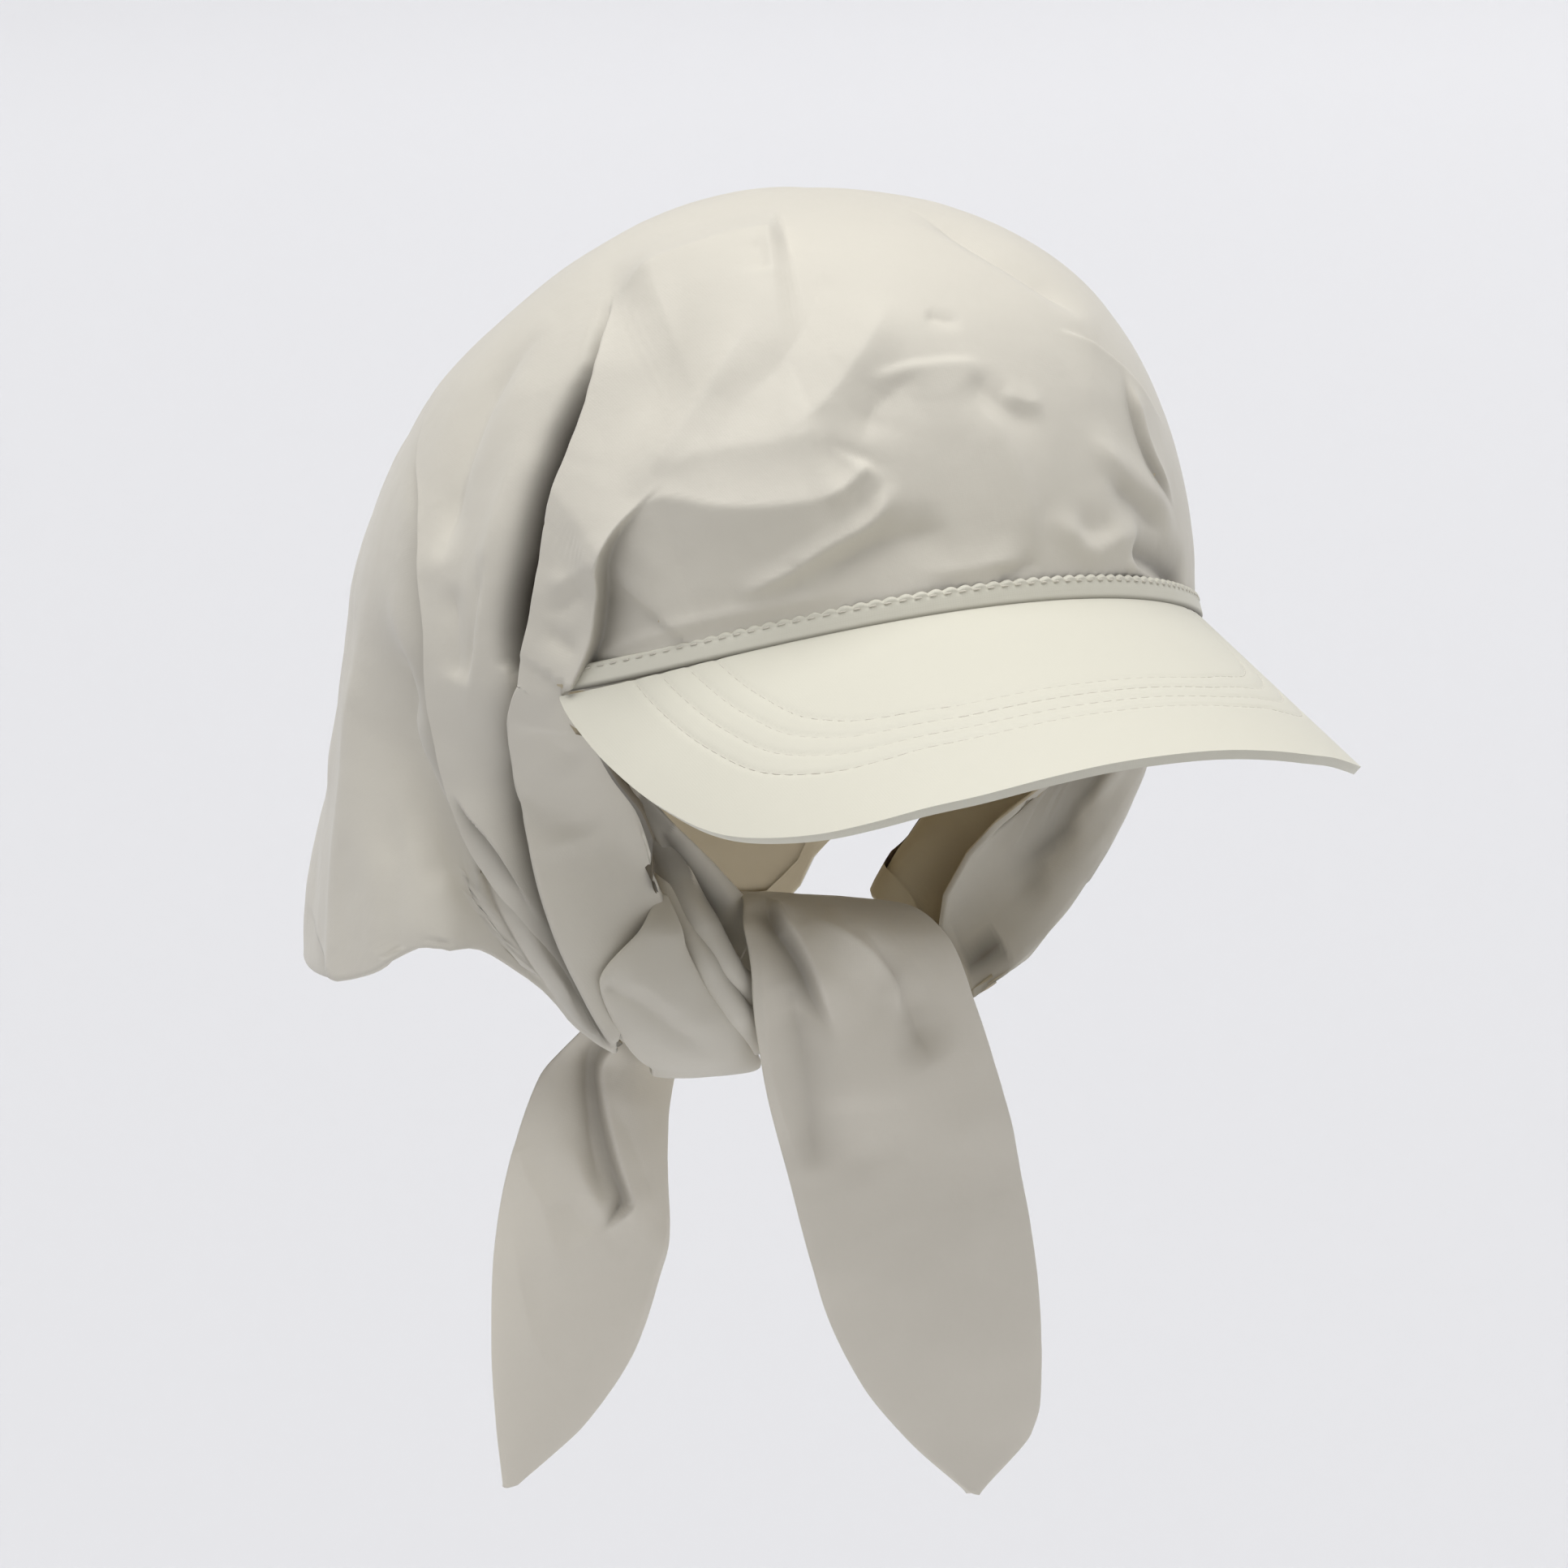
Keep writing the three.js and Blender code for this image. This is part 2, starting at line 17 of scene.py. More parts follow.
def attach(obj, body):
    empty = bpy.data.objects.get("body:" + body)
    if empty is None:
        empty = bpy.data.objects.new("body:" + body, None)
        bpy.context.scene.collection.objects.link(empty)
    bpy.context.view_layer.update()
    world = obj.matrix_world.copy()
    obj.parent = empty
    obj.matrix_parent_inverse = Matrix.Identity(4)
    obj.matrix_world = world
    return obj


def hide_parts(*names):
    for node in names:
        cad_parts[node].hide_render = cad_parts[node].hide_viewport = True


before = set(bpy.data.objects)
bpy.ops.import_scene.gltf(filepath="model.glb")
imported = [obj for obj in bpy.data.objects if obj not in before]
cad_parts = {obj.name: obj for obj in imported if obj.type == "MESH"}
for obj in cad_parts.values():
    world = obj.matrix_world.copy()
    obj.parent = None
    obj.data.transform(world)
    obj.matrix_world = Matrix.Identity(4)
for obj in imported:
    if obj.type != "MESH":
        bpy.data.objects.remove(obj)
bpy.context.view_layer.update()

LOG = logging.getLogger("flap_cap")
MM = 0.001


class Slot(Enum):
    """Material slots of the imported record."""

    SHELL = "shell_cloth"
    PEAK = "peak_cloth"


class Held(Enum):
    """How a sheet of cloth is held."""

    DRAPED = "draped"
    GATHERED = "gathered"
    HUNG = "hung"
    STRETCHED = "stretched"


@dataclass(frozen=True)
class Table:
    """Rows of named columns, read along the first one without overshoot."""

    names: str
    rows: tuple[tuple[float, ...], ...]

    def value(self, name: str, at: np.ndarray) -> np.ndarray:
        """Read one column between the rows.

        Args:
            name: Column's name.
            at: Places along the first column.

        Returns:
            The column's value at each place.
        """
        x = np.array([row[0] for row in self.rows])
        y = np.array([row[self.names.split().index(name)] for row in self.rows])
        step = np.diff(y) / np.diff(x)
        slope = np.concatenate([step[:1], np.zeros(len(x) - 2), step[-1:]])
        both = step[:-1] * step[1:] > 0
        slope[1:-1][both] = 2 * (step[:-1] * step[1:])[both] / (step[:-1] + step[1:])[both]
        at = np.asarray(at, float)
        i = np.clip(np.searchsorted(x, at) - 1, 0, len(x) - 2)
        width = x[i + 1] - x[i]
        t = np.clip((at - x[i]) / width, 0, 1)
        u = 1 - t
        return (
            y[i] * u * u * (1 + 2 * t)
            + y[i + 1] * t * t * (3 - 2 * t)
            + width * t * u * (slope[i] * u - slope[i + 1] * t)
        )


@dataclass(frozen=True)
class Fold:
    """A fold of a cloth, in millimetres: a ridge, a layer that laps over a hollow, or both.

    Its left is the side on the left as one looks along the route from outside.

    Attributes:
        route: Places along it, as turn and way down on the hood, or across and way down on a strip.
        rise: Height of the ridge; less than 0 makes a valley.
        wide: Half the ridge's width.
        lean: How much wider its left side is than its right side, from -1 to 1.
        crest: Power of its section; a low one makes it sharp and a high one round.
        lap: Height of the layer on the left over the other; less than 0 raises the right one.
        step: Half the width of the lap's edge.
        fade: Distance in which the raised layer comes down again.
        over: How far the lap's edge is pushed over the hollow.
        deep: Depth of the hollow beside the lap's edge.
        dip: Width of the hollow.
        wall: Power of the hollow's section; a high one makes its walls steep.
        painted_dark: Strength of the shade painted in the fold's hollow or valley, before it is limited to 1.
        start: Share of the route along which the fold grows.
        end: Share of the route along which it runs out.
    """

    route: tuple[tuple[float, float], ...]
    rise: float = 0.0
    wide: float = 5.0
    lean: float = 0.0
    crest: float = 1.25
    lap: float = 0.0
    step: float = 0.9
    fade: float = 14.0
    over: float = 0.0
    deep: float = 0.0
    dip: float = 6.0
    wall: float = 1.6
    painted_dark: float = 0.0
    start: float = 0.3
    end: float = 0.3


# Shape of every fold, in its own widths: how far it is followed, where a ridge's flanks end, and the small
# roll on a lap's edge; then how narrow a hollow is at its ends, how its painted shade spreads, and the
# distance in millimetres in which a pushed edge falls back
RIDGE_REACH, LAP_REACH = 3.2, 3.5
FLANK_FROM, FLANK_FADE = 1.1, 1.5
ROLL_HEIGHT, ROLL_WIDTH = 0.1, 1.5
HOLLOW_END = 0.35
SHADE_POWER = 0.6
PUSH_FADE = 3.0

# Creases of a crisp cloth: how much their pattern is warped, the second pattern that is taken from the first,
# and the height and fineness of the small creases in it
CREASE_WARP = 0.6
SECOND_RATE, SECOND_OFFSET = 0.8, Vector((7.0, 1.0, 3.0))
SMALL_HEIGHT, SMALL_RATE = 0.3, 2.7


def smooth(t: np.ndarray) -> np.ndarray:
    """Return a step from 0 to 1 with level ends."""
    t = np.clip(t, 0, 1)
    return t * t * (3 - 2 * t)


def unit(vectors: np.ndarray) -> np.ndarray:
    """Return vectors scaled to length 1."""
    size = np.linalg.norm(vectors, axis=-1, keepdims=True)
    return vectors / np.where(size < 1e-9, 1, size)


def spans(*parts: tuple[float, float, int]) -> np.ndarray:
    """Join runs of evenly spaced values.

    Args:
        parts: First value, last value and number of steps of each run.

    Returns:
        All values, with each shared end once.
    """
    runs = [np.linspace(low, high, steps + 1) for low, high, steps in parts]
    return np.concatenate([runs[0], *[run[1:] for run in runs[1:]]])


def curve(points: tuple[tuple[float, float], ...], steps: int = 8) -> np.ndarray:
    """Draw a smooth curve through points.

    Args:
        points: Points that it passes through.
        steps: Stretches between two points.

    Returns:
        Places along the curve.
    """
    p = np.array(points, float)
    p = np.vstack([2 * p[0] - p[1], p, 2 * p[-1] - p[-2]])
    t = np.linspace(0, 1, steps, endpoint=False)[:, None]
    made = []
    for a, b, c, d in zip(p[:-3], p[1:-2], p[2:-1], p[3:]):
        made.append(b + 0.5 * t * (c - a + t * (2 * a - 5 * b + 4 * c - d + t * (3 * (b - c) + d - a))))
    return np.vstack([*made, p[-2:-1]])


def nearest(line: np.ndarray, spot: np.ndarray, out: np.ndarray) -> tuple[np.ndarray, np.ndarray, np.ndarray]:
    """Find where points of a cloth lie beside a line.

    Args:
        line: Places along the line.
        spot: The points.
        out: The cloth's outward directions there.

    Returns:
        Each point's distance from the line, more than 0 on its left, its share of the way along the line, and
        the direction to the line's left there.
    """
    best = np.full(len(spot), np.inf)
    side = np.zeros(len(spot))
    part = np.zeros(len(spot))
    across = np.zeros_like(spot)
    for i, (a, b) in enumerate(zip(line[:-1], line[1:])):
        along = b - a
        t = np.clip((spot - a) @ along / (along @ along), 0, 1)
        off = spot - a - t[:, None] * along
        far = np.linalg.norm(off, axis=1)
        hit = far < best
        left = unit(np.cross(out[hit], along))
        best[hit] = far[hit]
        side[hit] = np.sign(np.sum(off[hit] * left, axis=1))
        part[hit] = (i + t[hit]) / (len(line) - 1)
        across[hit] = left
    return best * side, part, across


def fold_cloth(
    folds: list[Fold], lines: list[np.ndarray], places: np.ndarray, normals: np.ndarray
) -> tuple[np.ndarray, np.ndarray, np.ndarray]:
    """Work out how folds move a cloth.

    Args:
        folds: The folds.
        lines: The folds' routes on the cloth.
        places: Points of the flat cloth.
        normals: The cloth's outward directions there.

    Returns:
        Each point's lift along its normal, its shift along the cloth, and the shade painted on it in the
        folds.
    """
    lift = np.zeros(len(places))
    shift = np.zeros_like(places)
    painted_shade = np.zeros(len(places))
    for fold, line in zip(folds, lines):
        reach = max(
            RIDGE_REACH * fold.wide * (1 + abs(fold.lean)) * (fold.rise != 0),
            LAP_REACH * fold.fade * (fold.lap != 0),
            RIDGE_REACH * fold.dip * (fold.deep != 0),
        )
        within = (places > line.min(0) - reach) & (places < line.max(0) + reach)
        near = np.all(within, axis=1).nonzero()[0]
        if not len(near):
            continue
        s, part, across = nearest(line, places[near], normals[near])
        taper = smooth(part / max(fold.start, 1e-3)) * smooth((1 - part) / max(fold.end, 1e-3))
        if fold.rise:
            far = np.abs(s) / (fold.wide * np.where(s > 0, 1 + fold.lean, 1 - fold.lean))
            flank = 1 - smooth((far - FLANK_FROM) / FLANK_FADE)
            swell = taper * flank * np.exp(-(far**fold.crest))
            lift[near] += fold.rise * swell
            painted_shade[near] = np.maximum(painted_shade[near], fold.painted_dark * swell)
        if fold.lap or fold.deep:
            way = -1 if fold.lap < 0 else 1
            up = s * way
            ramp = smooth(0.5 + up / (2 * fold.step))
            roll = np.exp(-(((up - fold.step) / (ROLL_WIDTH * fold.step)) ** 2))
            high = ramp * np.exp(-np.maximum(up, 0) / fold.fade)
            dip = fold.dip * (HOLLOW_END + (1 - HOLLOW_END) * taper)
            low = (1 - ramp) * np.exp(-((np.maximum(-up, 0) / dip) ** fold.wall))
            lift[near] += taper * (abs(fold.lap) * (high + ROLL_HEIGHT * roll) - fold.deep * low)
            if fold.deep:
                # Shade painted into the hollow beside the lap's edge
                shade = np.minimum(fold.painted_dark * taper * low**SHADE_POWER, 1)
                painted_shade[near] = np.maximum(painted_shade[near], shade)
            push = fold.over * taper * ramp * np.exp(-np.maximum(up - fold.step, 0) / PUSH_FADE)
            shift[near] -= way * push[:, None] * across
    return lift, shift, painted_shade


def crumple(places: np.ndarray, size: float, height: float, seed: float) -> np.ndarray:
    """Make soft creases of a thin crisp cloth.

    Args:
        places: Points of the cloth.
        size: Width of a crease's pattern.
        height: Height of the creases.
        seed: Offset of the pattern.

    Returns:
        The lift at each point.
    """
    made = np.empty(len(places))
    for i, place in enumerate(places / size + seed):
        spot = Vector(place)
        warp = CREASE_WARP * noise.noise(spot * CREASE_WARP)
        spot = spot + Vector((warp, -warp, warp))
        large = abs(noise.noise(spot)) - abs(noise.noise(spot * SECOND_RATE + SECOND_OFFSET))
        made[i] = large + SMALL_HEIGHT * abs(noise.noise(spot * SMALL_RATE))
    return height * made


def vertex_normals(verts: np.ndarray, faces: np.ndarray) -> np.ndarray:
    """Work out the outward direction at each vertex of a mesh.

    Args:
        verts: Its points.
        faces: Faces of four vertex numbers; a triangle repeats its last one.

    Returns:
        A direction of length 1 for each vertex.
    """
    a, b, c, d = (verts[faces[:, k]] for k in range(4))
    area = np.cross(c - a, d - b)
    total = np.zeros_like(verts)
    for k in range(4):
        for axis in range(3):
            total[:, axis] += np.bincount(faces[:, k], weights=area[:, axis], minlength=len(verts))
    return unit(total)


def grid_faces(index: np.ndarray, wraps: bool) -> np.ndarray:
    """Make the quads of a grid of vertex numbers.

    Args:
        index: Vertex number at each row and column; equal numbers make a quad a triangle or nothing.
        wraps: Whether the last column joins the first.

    Returns:
        Faces of four numbers each, where a triangle repeats its last one.
    """
    nxt = np.roll(index, -1, axis=1) if wraps else index[:, 1:]
    own = index if wraps else index[:, :-1]
    faces = np.stack([own[:-1], own[1:], nxt[1:], nxt[:-1]], axis=-1).reshape(-1, 4)
    for k in range(4):
        same = faces[:, k] == faces[:, (k + 1) % 4]
        faces[same] = np.stack([faces[same, (k + 1 + j) % 4] for j in (0, 1, 2, 2)], axis=-1)
    a, b, c, _ = faces.T
    return faces[(a != b) & (b != c) & (a != c)]


def flipped(faces: np.ndarray) -> np.ndarray:
    """Turn faces to look the other way.

    Args:
        faces: Faces of four vertex numbers; a triangle repeats its last one.

    Returns:
        The turned faces, with a triangle's repeated number still last.
    """
    turned = faces[:, [2, 1, 0, 3]]
    four = faces[:, 2] != faces[:, 3]
    turned[four] = faces[four][:, ::-1]
    turned[~four, 3] = turned[~four, 2] = faces[~four, 0]
    turned[~four, 0] = faces[~four, 2]
    return turned


def make_piece(
    name: str,
    verts: np.ndarray,
    faces: np.ndarray,
    uv: np.ndarray | None = None,
    painted_shade: np.ndarray | None = None,
) -> bpy.types.Object:
    """Make a smooth mesh object.

    Args:
        name: Name of the piece.
        verts: Points in millimetres.
        faces: Faces of four vertex numbers; a triangle repeats its last one.
        uv: Flat place of each vertex on the cloth, in millimetres.
        painted_shade: Shade painted on each vertex in folds, from 0 to 1.

    Returns:
        The object, at the origin.
    """
    counts = np.where(faces[:, 2] == faces[:, 3], 3, 4)
    keep = np.ones(faces.shape, bool)
    keep[counts == 3, 3] = False
    loops = faces[keep]
    mesh = bpy.data.meshes.new(name)
    mesh.vertices.add(len(verts))
    mesh.vertices.foreach_set("co", (verts * MM).ravel())
    mesh.loops.add(len(loops))
    mesh.loops.foreach_set("vertex_index", loops.astype(np.int32))
    mesh.polygons.add(len(faces))
    mesh.polygons.foreach_set("loop_start", np.concatenate([[0], np.cumsum(counts)[:-1]]).astype(np.int32))
    mesh.polygons.foreach_set("loop_total", counts.astype(np.int32))
    mesh.polygons.foreach_set("use_smooth", np.ones(len(faces), bool))
    mesh.update(calc_edges=True)
    if uv is not None:
        layer = mesh.uv_layers.new(name="flat")
        layer.data.foreach_set("uv", uv[loops].ravel())
    if painted_shade is not None:
        mesh.attributes.new("painted_shade", "FLOAT", "POINT").data.foreach_set("value", painted_shade.astype(np.float32))
    mesh.validate()
    obj = bpy.data.objects.new(name, mesh)
    bpy.context.scene.collection.objects.link(obj)
    return obj


def linear(colour: str) -> tuple[float, float, float, float]:
    """Turn an sRGB hex colour to linear values."""
    parts = [int(colour[i:i + 2], 16) / 255 for i in (1, 3, 5)]
    return (*[c / 12.92 if c <= 0.04045 else ((c + 0.055) / 1.055) ** 2.4 for c in parts], 1.0)


# How often a wave texture of scale 1 comes round in one unit, times a full turn
WAVE_RATE = 20


def add_node(tree: bpy.types.NodeTree, kind: str, inputs: dict | None = None, **settings) -> bpy.types.Node:
    """Add a node to a material.

    Args:
        tree: The material's tree.
        kind: The node's type.
        inputs: Values or output sockets for its inputs.
        settings: Its other settings.

    Returns:
        The node.
    """
    node = tree.nodes.new(kind)
    for key, value in settings.items():
        setattr(node, key, value)
    for key, value in (inputs or {}).items():
        if isinstance(value, bpy.types.NodeSocket):
            tree.links.new(value, node.inputs[key])
        else:
            node.inputs[key].default_value = value
    return node


@dataclass(frozen=True)
class WovenNylon:
    """Plain-woven nylon taffeta with a soft calendered face.

    Calendering gives it a matt face with a faint sheen at grazing angles, and nylon's IOR is 1.53. Its
    threads lie about 0.15 mm apart, too fine to show, so they are drawn 0.5 mm apart and faintly. Small
    wrinkles are about 5 mm wide and faint patches of the dye about 45 mm. In folds, shade is painted into
    its colour as a dark brown.

    Attributes:
        name: The material's name.
        colour: The dyed cloth.
        shade: Its darker patches.
        painted_fold_shade: Colour painted as shade deep inside a fold.
        roughness: Mean roughness of its face.
        rough_spread: How far the roughness varies either way.
        sheen: Weight of the sheen.
        sheen_roughness: Its roughness.
        specular: Level of the specular reflection.
        ior: Index of refraction.
        thread: Distance between the drawn threads, in millimetres.
        weave: Strength of the threads' relief.
        thread_height: Its height, in metres.
        crinkle: Strength of the wrinkles' relief.
        wrinkle_height: Its height, in metres.
        wrinkles: Small wrinkles in a metre.
        patches: Patches of the dye in a metre.
    """

    name: str
    colour: str
    shade: str
    painted_fold_shade: str = "#352D20"
    roughness: float = 0.62
    rough_spread: float = 0.06
    sheen: float = 0.18
    sheen_roughness: float = 0.4
    specular: float = 0.35
    ior: float = 1.53
    thread: float = 0.5
    weave: float = 0.03
    thread_height: float = 0.0004
    crinkle: float = 0.25
    wrinkle_height: float = 0.0006
    wrinkles: float = 190.0
    patches: float = 22.0

    def material(self) -> bpy.types.Material:
        """Make the cloth's material.

        Returns:
            The material.
        """
        made = bpy.data.materials.new(self.name)
        made.use_nodes = True
        tree = made.node_tree
        shader = next(n for n in tree.nodes if n.type == "BSDF_PRINCIPLED")
        place = add_node(tree, "ShaderNodeTexCoord").outputs["Object"]
        flat = add_node(tree, "ShaderNodeUVMap", uv_map="flat").outputs["UV"]
        turns = math.tau / (WAVE_RATE * self.thread)
        warp = add_node(tree, "ShaderNodeTexWave", {"Vector": flat, "Scale": turns}, bands_direction="X")
        weft = add_node(tree, "ShaderNodeTexWave", {"Vector": flat, "Scale": turns}, bands_direction="Y")
        threads = add_node(
            tree, "ShaderNodeMath", {0: warp.outputs["Fac"], 1: weft.outputs["Fac"]}, operation="MULTIPLY"
        )
        cloud = add_node(tree, "ShaderNodeTexNoise", {"Vector": place, "Scale": self.patches, "Detail": 4.0})
        small = add_node(tree, "ShaderNodeTexNoise", {"Vector": place, "Scale": self.wrinkles, "Detail": 5.0})
        colour = add_node(
            tree, "ShaderNodeMix", {0: cloud.outputs["Fac"], 6: linear(self.shade), 7: linear(self.colour)},
            data_type="RGBA",
        )
        smoothest, roughest = self.roughness - self.rough_spread, self.roughness + self.rough_spread
        rough = add_node(
            tree, "ShaderNodeMapRange",
            {"Value": small.outputs["Fac"], "To Min": smoothest, "To Max": roughest},
        )
        crinkle = add_node(
            tree, "ShaderNodeBump",
            {"Height": small.outputs["Fac"], "Strength": self.crinkle, "Distance": self.wrinkle_height},
        )
        weave = add_node(
            tree, "ShaderNodeBump",
            {"Height": threads.outputs[0], "Strength": self.weave, "Distance": self.thread_height,
             "Normal": crinkle.outputs["Normal"]},
        )
        # Painted shade: the colour is mixed towards a dark brown where shade is painted on the mesh in folds
        painted_shade = add_node(tree, "ShaderNodeAttribute", attribute_name="painted_shade")
        folded = add_node(
            tree, "ShaderNodeMix",
            {0: painted_shade.outputs["Fac"], 6: colour.outputs[2], 7: linear(self.painted_fold_shade)},
            data_type="RGBA",
        )
        tree.links.new(folded.outputs[2], shader.inputs["Base Color"])
        tree.links.new(rough.outputs["Result"], shader.inputs["Roughness"])
        tree.links.new(weave.outputs["Normal"], shader.inputs["Normal"])
        shader.inputs["Sheen Weight"].default_value = self.sheen
        shader.inputs["Sheen Roughness"].default_value = self.sheen_roughness
        shader.inputs["IOR"].default_value = self.ior
        shader.inputs["Specular IOR Level"].default_value = self.specular
        return made


@dataclass(frozen=True)
class Thread:
    """Spun polyester sewing thread, a little glossier than the cloth.

    Its plies come round about every 0.7 mm, which shows as a fine relief.

    Attributes:
        name: The material's name.
        colour: The thread's colour.
        roughness: Its roughness.
        twist: Strength of the plies' relief.
        twist_height: Its height, in metres.
        twists: Plies in a metre.
    """

    name: str
    colour: str
    roughness: float = 0.5
    twist: float = 0.4
    twist_height: float = 0.0002
    twists: float = 1500.0

    def material(self) -> bpy.types.Material:
        """Make the thread's material.

        Returns:
            The material.
        """
        made = bpy.data.materials.new(self.name)
        made.use_nodes = True
        tree = made.node_tree
        shader = next(n for n in tree.nodes if n.type == "BSDF_PRINCIPLED")
        place = add_node(tree, "ShaderNodeTexCoord").outputs["Object"]
        twist = add_node(tree, "ShaderNodeTexNoise", {"Vector": place, "Scale": self.twists})
        bump = add_node(
            tree, "ShaderNodeBump",
            {"Height": twist.outputs["Fac"], "Strength": self.twist, "Distance": self.twist_height},
        )
        tree.links.new(bump.outputs["Normal"], shader.inputs["Normal"])
        shader.inputs["Base Color"].default_value = linear(self.colour)
        shader.inputs["Roughness"].default_value = self.roughness
        return made


SHELL = WovenNylon("woven_nylon_shell", "#D8D3C6", "#D2CDC0")
LINING = WovenNylon("woven_nylon_inside", "#CDC0A4", "#C4B79B", sheen=0.05)
# The shell cloth painted lighter for the tails, standing in for light
LIGHTENED_TAIL_CLOTH = WovenNylon("woven_nylon_tails_painted_light", "#E6E0D2", "#DFD9CB")
PEAK_CLOTH = WovenNylon("woven_nylon_peak", "#D7D4C5", "#D4D1C2", crinkle=0.08)
THREAD = Thread("sewing_thread", "#D2CDC0")


@dataclass
class Assembly:
    """Pieces of one sub-assembly."""

    pieces: list[bpy.types.Object] = field(default_factory=list)

    def keep(self, obj: bpy.types.Object, material: bpy.types.Material, slot: Slot) -> bpy.types.Object:
        """Dress a piece and make it ride on the cap.

        Args:
            obj: The piece.
            material: Its material.
            slot: The record's slot that the piece belongs to; not used.

        Returns:
            The piece.
        """
        obj.data.materials.clear()
        obj.data.materials.append(material)
        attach(obj, "root")
        self.pieces.append(obj)
        LOG.info("%s: %d faces", obj.name, len(obj.data.polygons))
        return obj


@dataclass(frozen=True)
class HeadForm:
    """Head opening, crown and peak surfaces that the pieces share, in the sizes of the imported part.

    Attributes:
        half_width: Half the head opening's width.
        front: Its reach to the front of the origin.
        back: Its reach to the back.
        corner: Turn at which the peak's seam ends.
        crown_height: Height of the crown's top.
        top_y: Place of the top along the cap.
        square: Power of the crown's section at the sides; 2 is an ellipse, and more is squarer.
        front_more: How much it is more at the front, and less at the back.
        least_square: Its least value.
        cloth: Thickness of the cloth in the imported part.
        radius: Radius that the peak is bent to.
        slope: How far the peak slopes down, in degrees.
        seam_height: Height of the seam at the front.
        flare: How far the cloth leans out below the rim at the back.
        straight_rim: Share of its length in which it leaves the rim straight.
        straight_edge: Share in which it meets its edge straight.
        turned: How far a full pull turns it to the knot.
        knot: The place that the sweeps are pulled to.
    """

    half_width: float = 83.7
    front: float = 100.0
    back: float = 101.0
    corner: float = 59.3
    crown_height: float = 92.5
    top_y: float = -13.0
    square: float = 2.07
    front_more: float = 0.7
    least_square: float = 1.72
    cloth: float = 1.6
    radius: float = 94.5
    slope: float = 17.9
    seam_height: float = 21.6
    flare: float = 0.16
    straight_rim: float = 0.34
    straight_edge: float = 0.26
    turned: float = 0.8
    knot: tuple[float, float, float] = (-14.0, -20.0, -69.0)

    def rim(self, turn: np.ndarray, out: float = 0.0) -> np.ndarray:
        """Work out places on the head opening.

        Args:
            turn: Turns from the front, in degrees.
            out: Distance outside the opening.

        Returns:
            A point for each turn.
        """
        t = np.radians(turn)
        along = -np.cos(t)
        half = np.where(along < 0, self.front, self.back)
        return np.stack([(self.half_width + out) * np.sin(t), (half + out) * along, 0 * along], -1)

    def on_peak(self, across: np.ndarray, forward: np.ndarray) -> np.ndarray:
        """Bend places of the flat board to the peak's surface.

        Args:
            across: Their places across the board.
            forward: Their places from the seam to the front.

        Returns:
            A point of the bent peak for each place.
        """
        bend = across / self.radius
        drop = self.radius * (1 - np.cos(bend))
        c, s = math.cos(math.radians(self.slope)), math.sin(math.radians(self.slope))
        y = -self.front - c * forward + s * drop
        z = self.seam_height - s * forward - c * drop
        return np.stack([self.radius * np.sin(bend), y, z], -1)

    def seam_on_board(self, turn: np.ndarray, out: float = 0.0) -> tuple[np.ndarray, np.ndarray]:
        """Work out where the flat board meets the head opening.

        Args:
            turn: Turns from the front, in degrees.
            out: Distance outside the opening.

        Returns:
            The places across the board, and those from the seam to the front.
        """
        rim = self.rim(turn, out)
        bend = np.arcsin(rim[..., 0] / self.radius)
        c, s = math.cos(math.radians(self.slope)), math.sin(math.radians(self.slope))
        drop = self.radius * (1 - np.cos(bend))
        return bend * self.radius, (-self.front - rim[..., 1] + s * drop) / c

    def seam(self, turn: np.ndarray, out: float = 0.0) -> np.ndarray:
        """Return the seam between crown and peak."""
        return self.on_peak(*self.seam_on_board(turn, out))


FORM = HeadForm()

# The cloth's edge behind the peak, from the wearer's left over the back to the right: its place, how far it
# is pulled to the knot, and how long the cloth is on its way there
EDGE = Table("turn x y z pull belly", (
    (60.5, 70, -40, -10, 0.2, 1.5),
    (62, 63, -25, -28, 0.5, 1.5),
    (64, 54, -14, -41, 0.8, 1.4),
    (66, 43, -12, -51, 0.95, 1.38),
    (68, 36, -11, -65, 0.85, 1.3),
    (71, 38, -19, -75, 0.78, 1.22),
    (75, 38, -22, -80, 0.75, 1.2),
    (77, 39.8, -18.2, -80.3, 0.74, 1.17),
    (79, 38.4, -13, -78.9, 0.72, 1.14),
    (86, 33.3, -5.7, -73.1, 0.68, 1.08),
    (96, 27.4, 1.6, -62.7, 0.7, 1),
    (105, 45, 19, -58.5, 0.6, 1),
    (114, 65, 39, -54.5, 0.4, 1),
    (122, 72, 56, -52, 0.2, 1),
    (131, 69, 72, -56, 0, 1),
    (140, 60, 86, -71.5, 0, 1),
    (144, 56, 91.5, -83, 0, 1),
    (149, 50, 98, -90, 0, 1),
    (164, 26, 112, -91.5, 0, 1),
    (180, 0, 118, -91, 0, 1),
    (196, -28, 113, -89, 0, 1),
    (211, -54, 99, -86, 0, 1),
    (223, -72, 79, -80, 0, 1),
    (233, -79, 57, -77.5, 0, 1),
    (241, -83.5, 34, -73.5, 0, 1),
    (248, -85, 12, -66.5, 0.1, 1),
    (254, -81, -3, -58.5, 0.2, 1),
    (259, -74, -9, -58.5, 0.3, 1),
    (264, -64, -14, -65, 0.45, 1),
    (268, -54, -18, -76, 0.6, 1),
    (273, -50, -27, -80, 0.7, 1),
    (279, -52, -32, -67, 0.7, 1),
    (285, -41, -31, -48, 0.7, 1.25),
    (288, -44.3, -34.2, -38, 0.6, 1.38),
    (291, -50, -39, -28, 0.5, 1.5),
    (297, -62, -46, -13, 0.3, 1.6),
))

